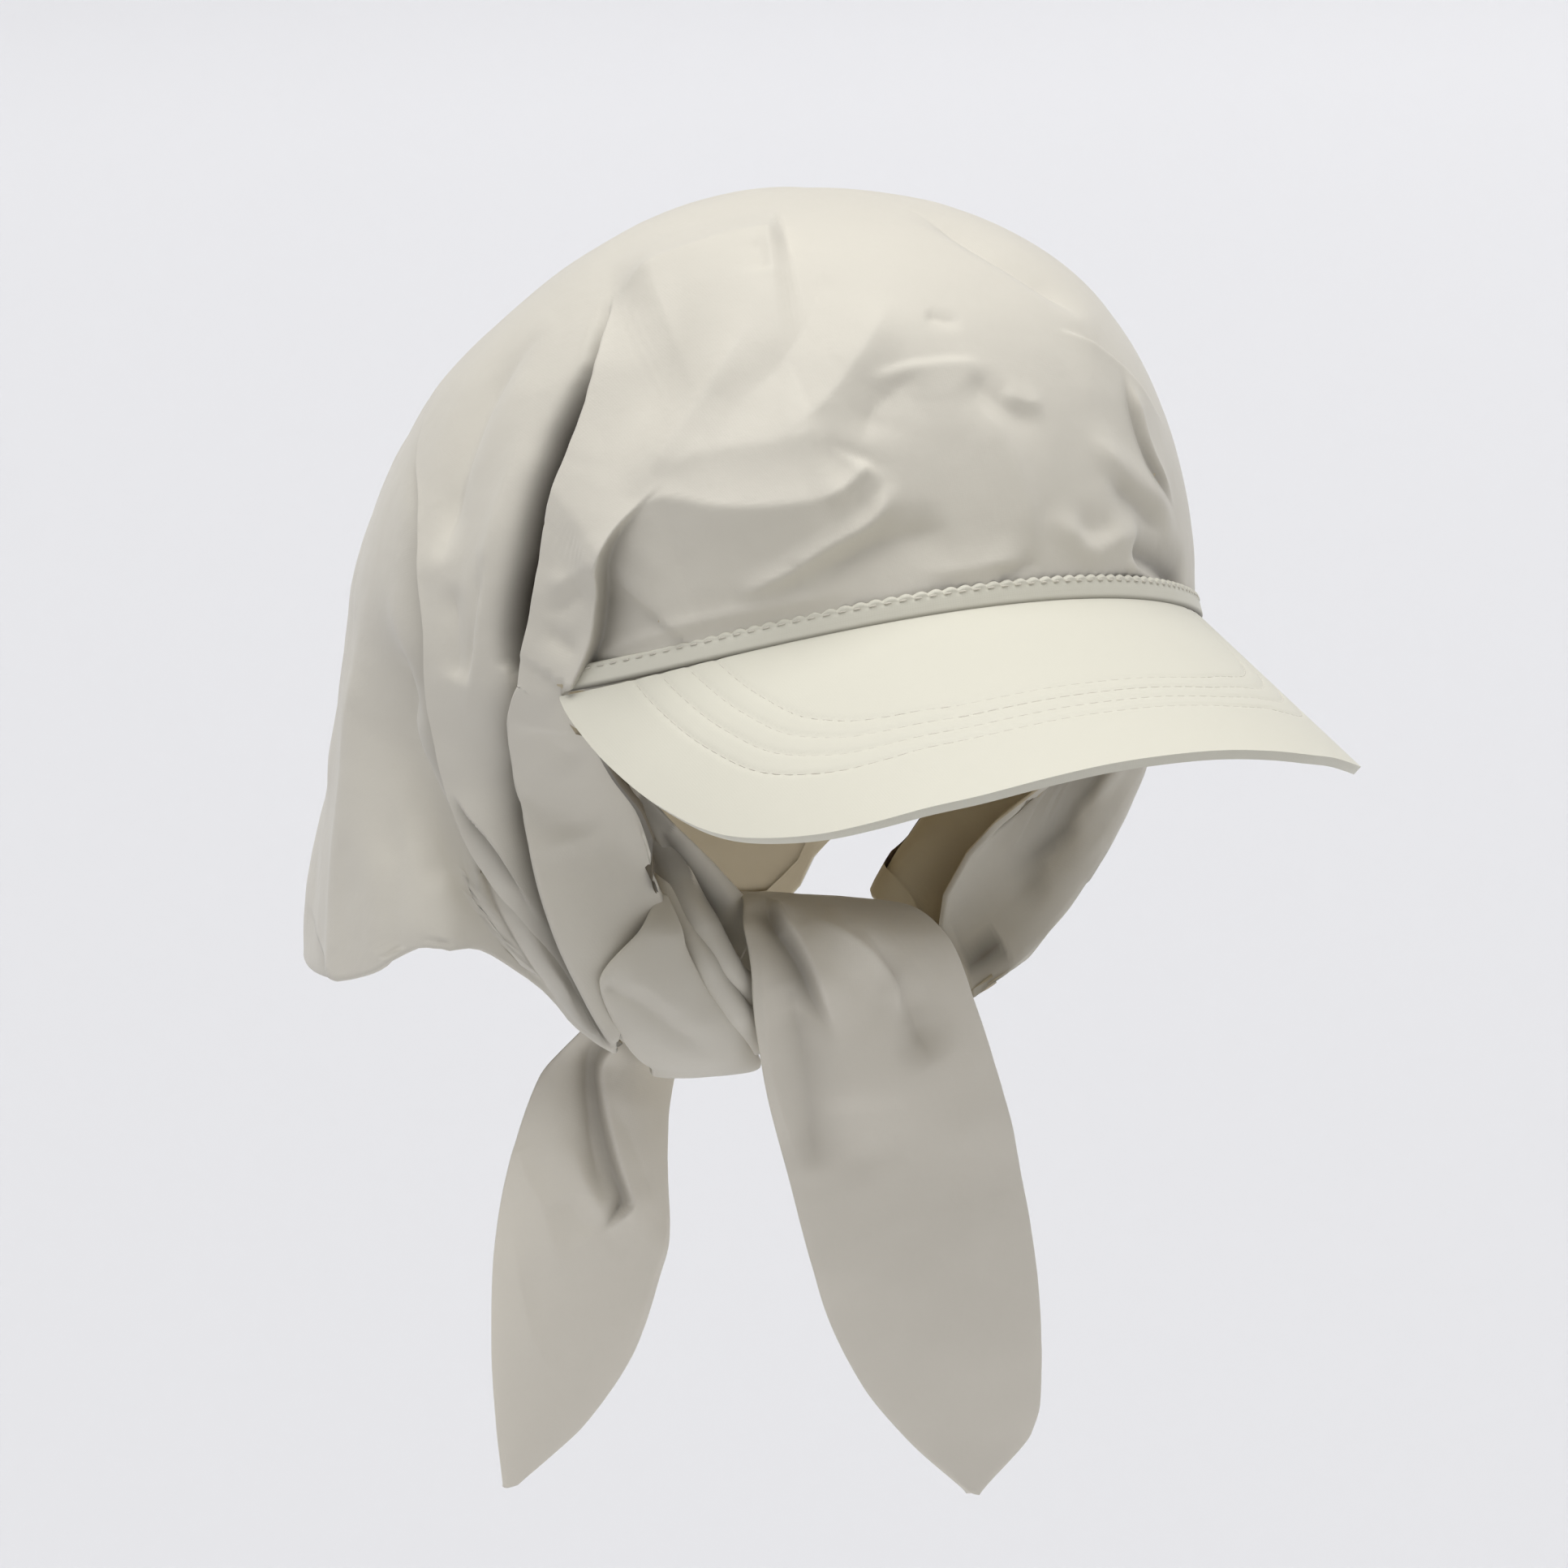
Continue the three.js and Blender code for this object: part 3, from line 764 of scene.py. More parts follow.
# Lines that the hood's columns follow: the main crease, the side sweep's border over the neck flap, the
# edge of the panel at the peak's right corner, and the line down to that corner
CREASE = Table("down turn", (
    (0, -73), (0.3, -70.5), (0.43, -66.6), (0.5, -62.3), (0.56, -59.9), (0.65, -59.3), (0.73, -60.1),
    (0.8, -61.1), (0.87, -61.8), (0.92, -62.7), (0.97, -64), (1.09, -66.2), (1.29, -71), (1.45, -76.6),
    (1.6, -79.2), (1.73, -80.6), (1.87, -82), (2, -83.8),
))
BORDER = Table("down turn", (
    (0, -116), (0.4, -113), (0.62, -106), (0.73, -97), (0.79, -90), (0.88, -85.5), (0.99, -82), (1.16, -82.5),
    (1.28, -83.5), (1.37, -84), (1.47, -84), (1.58, -83), (1.74, -82.6), (1.9, -83.6), (2, -85),
))
CORNER = Table("down turn", (
    (0, -56), (0.54, -51), (0.65, -49), (0.76, -50.5), (0.82, -54.5), (0.88, -57), (0.94, -58.6),
    (1, -59.3), (2, -59.3),
))
PANEL = Table("down turn", (
    (0, -40), (0.6, -39), (0.7, -40.5), (0.76, -44), (0.8, -48), (0.83, -51), (0.86, -52.6), (0.9, -54),
    (0.95, -55), (0.98, -56.5), (1, -58),
))


def along_columns(line: Table, first: float, last: float, count: int = 24) -> tuple[tuple[float, float], ...]:
    """Lay a fold's route on a line that the columns follow.

    Args:
        line: The line.
        first: Way down where the route starts.
        last: Way down where it ends.
        count: Its points.

    Returns:
        The route.
    """
    downs = np.linspace(first, last, count)
    return tuple(zip(line.value("turn", downs), downs))


HOOD_FOLDS = [
    # Right side: the deep main crease, whose front layer laps over a hollow with painted shade, and the roll
    # behind it
    Fold(along_columns(CREASE, .42, 2), lap=2.4, fade=13, over=2.0, deep=2.6, dip=3.6, step=.7, painted_dark=.6,
         start=.1, end=.02),
    Fold(along_columns(CREASE, .41, 1.16), deep=12, dip=7.6, wall=3.4, step=.7, painted_dark=1.7, start=.4, end=.34),
    Fold(((-72, .58), (-70.5, .71), (-71, .8), (-71.8, .88), (-73, .97), (-75, 1.08), (-78, 1.25)),
         rise=2.6, wide=5, crest=1.4, start=.4, end=.5),
    Fold(((-71.5, .85), (-72.6, .91), (-73.8, .97), (-75.5, 1.03)), rise=-1.5, wide=1.8, lean=-.3, crest=1.2),
    Fold(((-79, .48), (-83.5, .6), (-83.5, .7), (-82.5, .81), (-80.5, .88)), rise=-3.2, wide=5.5, crest=1.4),
    Fold(((-79, .89), (-77, .96), (-77, 1.03)), rise=-1.4, wide=3),
    # Border of the side sweep over the neck flap, and the lens-shaped fold in it
    Fold(along_columns(BORDER, .6, 2), lap=1.8, fade=14, over=1.6, deep=2.2, dip=7, step=.7, painted_dark=.3,
         start=.25, end=.02),
    Fold(((-83, 1.29), (-82, 1.35), (-81, 1.42), (-80.7, 1.5), (-81, 1.58), (-81.5, 1.66)),
         lap=1.2, fade=5, over=.8, deep=1.6, dip=2.5, step=.6, painted_dark=.4, start=.3, end=.4),
    # Neck flap: the valley beside the sweep and the soft waves behind it
    Fold(((-88, 1.0), (-92, 1.08), (-95, 1.2), (-95, 1.34), (-92, 1.45), (-88, 1.52), (-85.5, 1.62),
          (-84.5, 1.78), (-84.5, 1.95)), rise=-6.5, wide=8.5, lean=-.2, start=.16, end=.15),
    Fold(((-104, .92), (-106, 1.15), (-110, 1.31), (-114, 1.52), (-117, 1.74), (-118, 2.05)),
         rise=2.4, wide=8, end=0),
    Fold(((-107, 1.5), (-108, 1.7), (-109, 1.86), (-109.5, 2.05)), rise=-1.5, wide=3.5, end=0),
    Fold(((-101, 1.7), (-102, 1.86), (-103, 2.05)), rise=1.2, wide=3, end=0),
    # Panel at the peak's right corner: its edge laps over the crown, the seam and the peak's corner
    Fold(along_columns(PANEL, .77, 1), lap=-2.2, fade=7, over=1.6, deep=2.6, dip=5, step=.8, painted_dark=.45,
         start=.4, end=.01),
    Fold(((-61, .885), (-58, .88), (-55, .868), (-53, .858)),
         rise=1.2, wide=4, lean=-.3, crest=1.2, start=.3),
    Fold(((-62, .92), (-59.5, .915), (-57, .9), (-55.5, .89)), rise=-1.2, wide=2, crest=1.5, start=.45),
    Fold(((-62, .937), (-59.5, .95), (-56.5, .965)), rise=-1.2, wide=2.2, crest=1.5, start=.45),
    Fold(((-78, 1.53), (-76.5, 1.57), (-75, 1.62), (-73, 1.73)), rise=1.1, wide=2.6, lean=-.3),
    Fold(((-64.5, 1.25), (-67, 1.42), (-68, 1.6)), rise=-1.8, wide=6),
    # Front of the crown, right half: the ridge over a wide downward face, and the thin ridge that ends it
    Fold(((-55.5, .9), (-54, .872), (-52, .85), (-49, .813), (-46, .793), (-43, .797), (-39, .812),
          (-34, .822), (-28.5, .826), (-24, .822), (-20.5, .812)),
         rise=6, wide=13, crest=1.1, start=.2, end=.2),
    Fold(((-26, .83), (-22.5, .812), (-20, .79), (-18.8, .77)), rise=2.2, wide=3.2, lean=.2, crest=1.2),
    Fold(((-49, .8), (-47, .75), (-44.5, .69), (-41, .61), (-38, .53), (-37, .44)),
         rise=2.2, wide=5.5, crest=1.5, lean=.2, start=.3, end=.4),
    Fold(((-46, .77), (-42, .735), (-33, .725), (-25.5, .725), (-20, .765)), rise=1.2, wide=5, crest=1.5),
    Fold(((-36.5, .94), (-34, .93), (-29, .915), (-25.5, .897), (-21.5, .88), (-18.6, .865), (-17, .845),
          (-16.8, .82), (-18.5, .792)), rise=2.1, wide=1.9, crest=1.2, start=.25, end=.3),
    Fold(((-29, .935), (-22.5, .915), (-18, .9), (-12, .895), (-7, .885)),
         rise=-3, wide=5.5, lean=-.3, crest=1.4),
    Fold(((-28.3, .9), (-28.3, .925), (-28, .95)), rise=-.9, wide=1.8, lean=-.5),
    Fold(((-14, .945), (-7, .95), (-1, .945), (4, .95)), rise=1, wide=2.6),
    Fold(((-3, .975), (1, .96), (6, .948)), rise=-.8, wide=1.8),
    # Long soft folds from the top of the crown
    Fold(((-53, .3), (-51, .4), (-49, .5), (-49.5, .6), (-52, .7), (-55, .77)),
         rise=-2.6, wide=9, crest=1.6, start=.6, end=.4),
    Fold(((-67, .43), (-60, .36), (-52, .315), (-45, .285), (-38, .27), (-31, .258)),
         rise=4, wide=14, lean=-.4, crest=1.1, start=.2, end=.15),
    Fold(((-21, .3), (-24.5, .4), (-27.5, .5), (-32, .59), (-38, .66)), rise=-1.3, wide=6.5),
    Fold(((-10, .43), (-15, .52), (-20, .6), (-25, .67), (-31.5, .73)), rise=2.2, wide=6, lean=.2),
    Fold(((-9, .625), (-14, .65), (-18, .69), (-20, .75)), rise=-1.6, wide=5),
    Fold(((-38.5, .28), (-36.3, .34), (-35.5, .38)), rise=-.8, wide=2.4, crest=1.5),
    Fold(((-18.5, .635), (-14.5, .615), (-8.5, .605), (-2, .605), (2, .615)), lap=-1, fade=6, step=1.4),
    Fold(((-1.5, .63), (0, .66), (2.5, .695), (6, .722), (11, .728)),
         rise=-1.1, wide=3.8, lean=-.3, crest=1.4),
    Fold(((3, .67), (6.5, .695), (11, .703)), rise=.8, wide=2.2),
    Fold(((-3, .67), (1, .74), (3, .82), (4, .89), (4.3, .965)), rise=1.1, wide=3, lean=-.3),
    Fold(((-6, .5), (-4, .51), (1, .525)), rise=-.7, wide=1.8, crest=1.5),
    # Left half of the crown's front: long leaf-shaped folds along the side
    Fold(((24, .14), (22, .24), (22.5, .33), (25, .4), (28, .48), (29, .55)), rise=-2.4, wide=5, lean=.3),
    Fold(((19, .55), (25, .58), (29.5, .615), (33.5, .65), (38, .7), (46, .75)),
         lap=-1.6, fade=8, step=.9, over=.4),
    Fold(((32, .65), (31.5, .72), (32, .78), (34.5, .83), (39.5, .88)),
         lap=1.6, fade=7, step=.8, deep=.8, dip=2.4, painted_dark=.3, over=.5),
    Fold(((17.5, .75), (21, .8), (26, .84), (33, .87), (39, .905)), rise=1.6, wide=3.4, lean=.2, crest=1.7),
    Fold(((19.5, .83), (24.5, .86), (29.5, .888), (36, .915)), rise=-1.8, wide=3.2, painted_dark=.12),
    Fold(((11.5, .895), (16, .912), (20, .9)), rise=-.8, wide=3),
    Fold(((6.5, .88), (10.5, .91), (14.5, .938), (21, .922), (29, .91)), rise=1.3, wide=2.8, crest=1.7),
    Fold(((23, .935), (29, .948), (36, .962), (43, .98)), rise=-3.4, wide=4, painted_dark=.35, start=.2, end=.2),
    Fold(((21.5, .955), (26, .968), (30.5, .985), (35.5, 1.0)), rise=1.4, wide=1.8, crest=1.4, start=.2),
    Fold(((15.5, .985), (21, .978), (26.5, .982), (31, .995)), rise=-1, wide=1.6, crest=1.6),
    # Welt just above the band
    Fold(((-56, .972), (-49, .962), (-42, .956), (-36, .955), (-26, .955), (-17, .955)),
         rise=.7, wide=1.4, crest=1.8, start=.05, end=.4),
    # Left side and back, hidden from the front, softer
    Fold(((64.5, 1.3), (66.5, 1.45), (68.2, 1.56), (69.3, 1.68), (70, 1.82)),
         lap=1.2, fade=8, deep=1.6, dip=6, painted_dark=.42, start=.3),
    Fold(((71, 1.88), (70.5, 1.96), (70.2, 2)), rise=-.4, wide=3, painted_dark=.7, start=.1, end=.1),
    Fold(((104, .65), (92, .8), (86, .98), (85, 1.3), (83, 1.6), (84, 1.85)),
         lap=-1.8, fade=13, step=1.1, over=.5),
    Fold(((90, 1.02), (94, 1.2), (95, 1.4)), rise=-2.5, wide=8),
    Fold(((112, .95), (112, 1.3), (116, 1.6), (120, 2.05)), rise=2.2, wide=8, end=0),
    Fold(((-136, .98), (-141, 1.3), (-146, 1.65), (-148, 2.1)), rise=2.4, wide=9, end=0),
    Fold(((-152, 1.1), (-157, 1.5), (-158, 2.1)), rise=-2, wide=8, end=0),
    Fold(((-170, .9), (-168, 1.4), (-167, 2.1)), rise=1.8, wide=8, end=0),
    Fold(((174, 1.1), (172, 1.5), (171, 2.1)), rise=-2, wide=8, end=0),
    Fold(((156, 1), (156, 1.5), (157, 2.1)), rise=1.8, wide=8, end=0),
    Fold(((140, 1.02), (139, 1.4), (137, 2.1)), rise=-2, wide=8, end=0),
    Fold(((72, .3), (80, .5), (92, .62)), rise=-1.6, wide=8),
    Fold(((150, .35), (140, .6), (132, .85)), rise=-1.2, wide=9),
    Fold(((-150, .4), (-142, .6), (-135, .82)), rise=-1.2, wide=9),
    Fold(((178, .45), (-178, .7), (-180, .9)), rise=1, wide=12),
    Fold(((-118, .2), (-118, .6), (-118, 1.15)), rise=-1.1, wide=24, crest=2, start=.4, end=.4),
    Fold(((-118, 1), (-118, 1.5), (-119, 2.3)), rise=1.7, wide=22, crest=2, start=.4, end=.1),
]


@dataclass
class Hood(Assembly):
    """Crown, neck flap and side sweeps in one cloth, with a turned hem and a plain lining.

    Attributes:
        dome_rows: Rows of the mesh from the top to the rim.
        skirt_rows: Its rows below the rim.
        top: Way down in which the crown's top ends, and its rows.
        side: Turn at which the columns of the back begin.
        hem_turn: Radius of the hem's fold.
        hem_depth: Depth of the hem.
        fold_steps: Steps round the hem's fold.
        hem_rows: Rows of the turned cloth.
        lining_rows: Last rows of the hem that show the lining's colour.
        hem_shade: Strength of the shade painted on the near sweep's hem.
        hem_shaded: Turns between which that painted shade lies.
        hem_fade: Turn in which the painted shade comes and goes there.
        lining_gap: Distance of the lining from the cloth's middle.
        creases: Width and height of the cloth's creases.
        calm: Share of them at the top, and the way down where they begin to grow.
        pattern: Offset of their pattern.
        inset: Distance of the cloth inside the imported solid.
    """

    dome_rows: int = 134
    skirt_rows: int = 92
    top: tuple[float, int] = (0.3, 16)
    side: float = 125.0
    hem_turn: float = 0.85
    hem_depth: float = 6.0
    fold_steps: int = 6
    hem_rows: int = 3
    lining_rows: int = 5
    hem_shade: float = 0.75
    hem_shaded: tuple[float, float] = (-86.0, -60.0)
    hem_fade: float = 4.0
    lining_gap: float = 0.6
    creases: tuple[float, float] = (26.0, 1.0)
    calm: tuple[float, float] = (0.25, 0.4)
    pattern: float = 3.7
    inset: float = 0.8

    def point(self, turn: np.ndarray, down: np.ndarray) -> np.ndarray:
        """Work out places on the cloth without its folds.

        Args:
            turn: Turns from the front, in degrees; the wearer's left is more than 0.
            down: Ways down: 0 is the top, 1 the rim and 2 the cloth's edge.

        Returns:
            A point for each turn and way down.
        """
        turn, down = np.broadcast_arrays(np.asarray(turn, float), np.asarray(down, float))
        turn = np.where(turn > 180, turn - 360, np.where(turn < -180, turn + 360, turn))
        front = np.abs(turn) <= FORM.corner
        rim = FORM.rim(turn)
        rim[..., 2] = FORM.seam(np.where(front, turn, FORM.corner))[..., 2]
        square = np.maximum(FORM.least_square, FORM.square + FORM.front_more * np.cos(np.radians(turn)))
        end = np.arccos((rim[..., 2] / FORM.crown_height) ** (square / 2))
        angle = np.minimum(down, 1) * end
        out = (np.sin(angle) / np.sin(end)) ** (2 / square)
        up = np.cos(angle) ** (2 / square)
        dome = np.stack(
            [rim[..., 0] * out, FORM.top_y + (rim[..., 1] - FORM.top_y) * out, FORM.crown_height * up], -1
        )
        corner = FORM.seam(np.array(FORM.corner))
        rows = (
            (FORM.corner, *corner, 0, 1.5), *EDGE.rows, (360 - FORM.corner, -corner[0], *corner[1:], 0, 1.5),
        )
        table = Table(EDGE.names, rows)
        turned = np.where(turn < 0, turn + 360, turn)
        edge = np.stack([table.value(axis, turned) for axis in "xyz"], -1)
        pull = table.value("pull", turned)[..., None]
        hang = np.linalg.norm(edge - rim, axis=-1, keepdims=True) * table.value("belly", turned)[..., None]
        lean = FORM.flare * np.maximum(0, -np.cos(np.radians(turn)))[..., None]
        fall = unit(rim * (1, 1, 0)) * lean + (0, 0, -1)
        pull = FORM.turned * pull
        lead = unit(np.array([0, 0, -1.0]) * (1 - pull) + unit(FORM.knot - edge) * pull)
        t = np.clip(down - 1, 0, 1)[..., None]
        u = 1 - t
        skirt = (
            rim * u**3
            + 3 * u * u * t * (rim + fall * FORM.straight_rim * hang)
            + 3 * u * t * t * (edge - lead * FORM.straight_edge * hang)
            + edge * t**3
        )
        return np.where(((down <= 1) | front)[..., None], dome, skirt)

    def columns(self, downs: np.ndarray) -> tuple[np.ndarray, np.ndarray]:
        """Place the mesh's columns, closest together along the laps that they follow.

        Args:
            downs: The rows' ways down.

        Returns:
            Each column's turn at each row, and whether the column ends at the peak's seam.
        """

        def level(turn: float) -> np.ndarray:
            """Return a line that stays at a turn."""
            return np.full(len(downs), turn)

        c = FORM.corner
        crease, border, corner, panel = (
            line.value("turn", np.minimum(downs, 2)) for line in (CREASE, BORDER, CORNER, PANEL)
        )
        # Each band's first and last line, its columns, and how much closer they lie at the one and the other
        bands = (
            (level(-180), level(-self.side), 26, 0, 0),
            (level(-self.side), border, 56, 0, 0.8),
            (border, crease, 84, 0.8, 0.85),
            (crease, corner, 36, 0.8, 0),
            (corner, panel, 20, 0, 0.7),
            (panel, level(c), 200, 0.6, 0),
            (level(c), level(self.side), 58, 0, 0),
            (level(self.side), level(180), 24, 0, 0),
        )
        columns = []
        for first, last, count, dense_first, dense_last in bands:
            for t in np.linspace(0, 1, count, endpoint=False):
                wave = math.sin(math.tau * t) / math.tau
                ease = t - wave * (dense_first * (1 - t) + dense_last * t)
                columns.append(first + (last - first) * ease)
        turns = np.array(columns).T
        front = np.abs(turns[np.searchsorted(downs, 1)]) <= c + 1e-6
        return turns, front

    def index(self, rows: int, front: np.ndarray, dome: int) -> np.ndarray:
        """Number a grid's vertices, with one for the top and none below the rim at the front.

        Args:
            rows: Number of rows.
            front: Whether each column ends at the peak's seam.
            dome: Row of the rim.

        Returns:
            Vertex number at each row and column.
        """
        index = np.arange(rows * len(front)).reshape(rows, len(front))
        index[0] = index[0, 0]
        index[dome + 1:, front] = index[dome, front]
        return index

    def flat_place(self, grid: np.ndarray, turns: np.ndarray) -> np.ndarray:
        """Lay the cloth flat.

        Args:
            grid: Its points without their folds.
            turns: Their turns.

        Returns:
            Each vertex's place on the flat cloth, in millimetres.
        """
        step = np.linalg.norm(np.diff(grid, axis=0), axis=2)
        length = np.concatenate([np.zeros((1, grid.shape[1])), np.cumsum(step, 0)])
        t = np.radians(turns)
        return np.stack([length * np.sin(t), -length * np.cos(t)], -1)

    def build(self) -> None:
        """Make the folded cloth, its hem and its lining."""
        top, top_rows = self.top
        downs = spans((0, top, top_rows), (top, 1, self.dome_rows - top_rows), (1, 2, self.skirt_rows))
        turns, front = self.columns(downs)
        flat = self.point(turns, downs[:, None])
        index = self.index(len(downs), front, self.dome_rows)
        faces = grid_faces(index, True)
        normals = vertex_normals(flat.reshape(-1, 3), faces).reshape(flat.shape)
        normals[0] = (0, 0, 1)
        normals[self.dome_rows + 1:, front] = normals[self.dome_rows, front]
        lines = [self.point(*curve(fold.route).T) for fold in HOOD_FOLDS]
        lift, shift, painted_shade = fold_cloth(HOOD_FOLDS, lines, flat.reshape(-1, 3), normals.reshape(-1, 3))
        least, grows = self.calm
        creased = least + (1 - least) * smooth(downs - grows)
        lift += crumple(flat.reshape(-1, 3), *self.creases, self.pattern) * np.repeat(creased, flat.shape[1])
        lift = lift.reshape(flat.shape[:2]) - self.inset
        cloth = flat + normals * (FORM.cloth / 2 + lift)[..., None] + shift.reshape(flat.shape)
        cloth[0] = cloth[0].mean(0)
        self.make_outside(cloth, index, front, turns, self.flat_place(flat, turns), painted_shade)
        self.make_lining(cloth, index, front, self.flat_place(flat, turns))

    def make_outside(
        self,
        cloth: np.ndarray,
        index: np.ndarray,
        front: np.ndarray,
        turns: np.ndarray,
        uv: np.ndarray,
        painted_shade: np.ndarray,
    ) -> None:
        """Make the outer cloth and its hem, turned under all round.

        Args:
            cloth: Folded places of the cloth.
            index: Their vertex numbers.
            front: Whether each column ends at the peak's seam.
            turns: Each column's turn at each row.
            uv: Their places on the flat cloth.
            painted_shade: Shade painted on them in folds.
        """
        verts = cloth.reshape(-1, 3)
        faces = grid_faces(index, True)
        out = vertex_normals(verts, faces)[index]
        last = np.where(front, self.dome_rows, len(cloth) - 1)
        cols = np.arange(len(front))
        edge, above = cloth[last, cols], cloth[last - 3, cols]
        normal = out[last, cols]
        down = unit(edge - above)
        down = unit(down - normal * np.sum(down * normal, 1, keepdims=True))
        rows = []
        for angle in np.linspace(0, math.pi, self.fold_steps + 1)[1:]:
            turned = normal * math.cos(angle) + down * math.sin(angle)
            rows.append(edge - normal * self.hem_turn + self.hem_turn * turned)
        spacing = np.linalg.norm(edge - above, axis=1) / 3
        for depth in np.linspace(0, self.hem_depth, self.hem_rows + 1)[1:]:
            back = np.clip(np.round(depth / np.maximum(spacing, 0.05)), 0, 12).astype(int)
            rows.append(cloth[last - back, cols] - out[last - back, cols] * 2 * self.hem_turn)
        hem = np.array(rows)
        count = len(verts)
        number = count + np.arange(hem.shape[0] * hem.shape[1]).reshape(hem.shape[:2])
        number = np.vstack([index[-1:], number])
        faces = np.vstack([faces, grid_faces(number, True)])
        uv = np.vstack([uv.reshape(-1, 2), np.tile(uv[-1], (len(hem), 1))])
        # Shade painted on the near sweep's hem, fading in and out at its ends
        lit = turns[last, cols]
        first, final = self.hem_shaded
        grown = smooth((lit - first) / self.hem_fade) * smooth((final - lit) / self.hem_fade)
        shaded = self.hem_shade * grown
        painted_shade = np.concatenate([painted_shade, np.tile(shaded, len(hem))])
        obj = make_piece("hood_cloth", np.vstack([verts, hem.reshape(-1, 3)]), faces, uv, painted_shade)
        self.keep(obj, SHELL.material(), Slot.SHELL)
        obj.data.materials.append(LINING.material())
        inner = np.zeros(len(obj.data.polygons), np.int32)
        inner[-self.lining_rows * len(front):] = 1
        obj.data.polygons.foreach_set("material_index", inner)
        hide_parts("hood")

    def make_lining(self, cloth: np.ndarray, index: np.ndarray, front: np.ndarray, uv: np.ndarray) -> None:
        """Make the inside of the cloth.

        Args:
            cloth: Folded places of the cloth.
            index: Their vertex numbers.
            front: Whether each column ends at the peak's seam.
            uv: Their places on the flat cloth.
        """
        out = vertex_normals(cloth.reshape(-1, 3), grid_faces(index, True))[index]
        rows = np.r_[0:self.dome_rows:2, self.dome_rows, self.dome_rows + 2:len(cloth) - 3:2]
        place = (cloth - out * self.lining_gap)[rows]
        place[0] = place[0].mean(0)
        index = self.index(len(rows), front, int(np.searchsorted(rows, self.dome_rows)))
        faces = flipped(grid_faces(index, True))
        obj = make_piece("hood_lining", place.reshape(-1, 3), faces, uv[rows].reshape(-1, 2))
        self.keep(obj, LINING.material(), Slot.SHELL)


@dataclass
class Peak(Assembly):
    """Board bent over a cylinder, covered with cloth and sewn through in four rows.

    Attributes:
        half_outline: Its front edge on the flat board, across and forward, from the middle to one side.
        thick: Its thickness.
        rounding: Share of the thickness by which its edges are rounded.
        columns: Points of its mesh across it.
        lines: Points from the seam to the front.
        crowded: How much closer these lie at the seam.
        rows: Rows of stitches.
        row_at_front: Distance of the first row from the front edge, and from row to row.
        row_at_side: The same at the sides.
        seam_gap: Distance from the seam at which the rows end.
        side: Places across between which the rows go from the one to the other.
        groove: Depth of the groove that a row makes.
        groove_width: Its half width.
        stitch: Pitch, length and thread radius of a stitch.
    """

    half_outline: tuple[tuple[float, float], ...] = (
        (0, 61.8), (12, 61.2), (24, 59.8), (36, 57), (46.5, 52.3), (55, 48), (63, 42.4), (70, 35),
        (75.8, 26.6), (79.6, 17.9), (82.2, 7.5), (84, -3.1), (85, -16.5), (84.9, -27), (84.4, -34.5),
        (83.6, -39),
    )
    thick: float = 2.0
    rounding: float = 0.46
    columns: int = 230
    lines: int = 96
    crowded: float = 1.25
    rows: int = 4
    row_at_front: tuple[float, float] = (17.8, 3.7)
    row_at_side: tuple[float, float] = (14.4, 4.8)
    seam_gap: float = 0.6
    side: tuple[float, float] = (30.0, 68.0)
    groove: float = 0.24
    groove_width: float = 0.5
    stitch: tuple[float, float, float] = (2.9, 2.2, 0.17)

    def evenly(self, line: np.ndarray, count: int) -> np.ndarray:
        """Resample a line.

        Args:
            line: Its points.
            count: Number of points wanted.

        Returns:
            Evenly spaced points along it.
        """
        far = np.concatenate([[0], np.cumsum(np.linalg.norm(np.diff(line, axis=0), axis=1))])
        at = np.linspace(0, far[-1], count)
        return np.stack([np.interp(at, far, line[:, k]) for k in range(line.shape[1])], -1)

    def front_edge(self, count: int) -> np.ndarray:
        """Return evenly spaced points of the flat front edge."""
        half = self.half_outline
        return self.evenly(curve((*((-x, y) for x, y in half[:0:-1]), *half), 20), count)

    def row_distance(self, across: np.ndarray, row: int) -> np.ndarray:
        """Work out how far a row of stitches lies from the front edge.

        Args:
            across: Places across the board.
            row: The row's number, from the front.

        Returns:
            The distance at each place.
        """
        near, far = self.side
        side = smooth((np.abs(across) - near) / (far - near))
        return (
            (1 - side) * (self.row_at_front[0] + row * self.row_at_front[1])
            + side * (self.row_at_side[0] + row * self.row_at_side[1])
        )

    def build(self) -> None:
        """Make the covered board and its stitches."""
        front = self.front_edge(self.columns)
        rear = np.stack(FORM.seam_on_board(np.linspace(-FORM.corner, FORM.corner, self.columns), 1.0), -1)
        bpy.ops.object.select_all(action="DESELECT")
        bpy.ops.mesh.primitive_grid_add(
            x_subdivisions=self.columns - 1, y_subdivisions=self.lines - 1, size=2
        )
        board = bpy.context.object
        board.name = board.data.name = "peak_cover"
        verts = np.empty(len(board.data.vertices) * 3)
        board.data.vertices.foreach_get("co", verts)
        verts = verts.reshape(-1, 3)
        column = np.round((verts[:, 0] + 1) / 2 * (self.columns - 1)).astype(int)
        t = (1 - verts[:, 1]) / 2
        t = 1 - (1 - t) ** self.crowded
        place = rear[column] * (1 - t[:, None]) + front[column] * t[:, None]
        edge = self.front_edge(700)
        far = np.array([np.min(np.hypot(*(edge - p).T)) for p in place])
        dent = sum(
            np.exp(-(((far - self.row_distance(place[:, 0], row)) / self.groove_width) ** 2))
            for row in range(self.rows)
        )
        spot = FORM.on_peak(place[:, 0], place[:, 1])
        normal = unit(spot - self.axis(spot))
        spot = spot - normal * (self.groove * dent)[:, None]
        board.data.vertices.foreach_set("co", (spot * MM).ravel())
        board.data.update()
        self.thicken(board)
        self.keep(board, PEAK_CLOTH.material(), Slot.PEAK)
        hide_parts("peak")
        self.stitches()

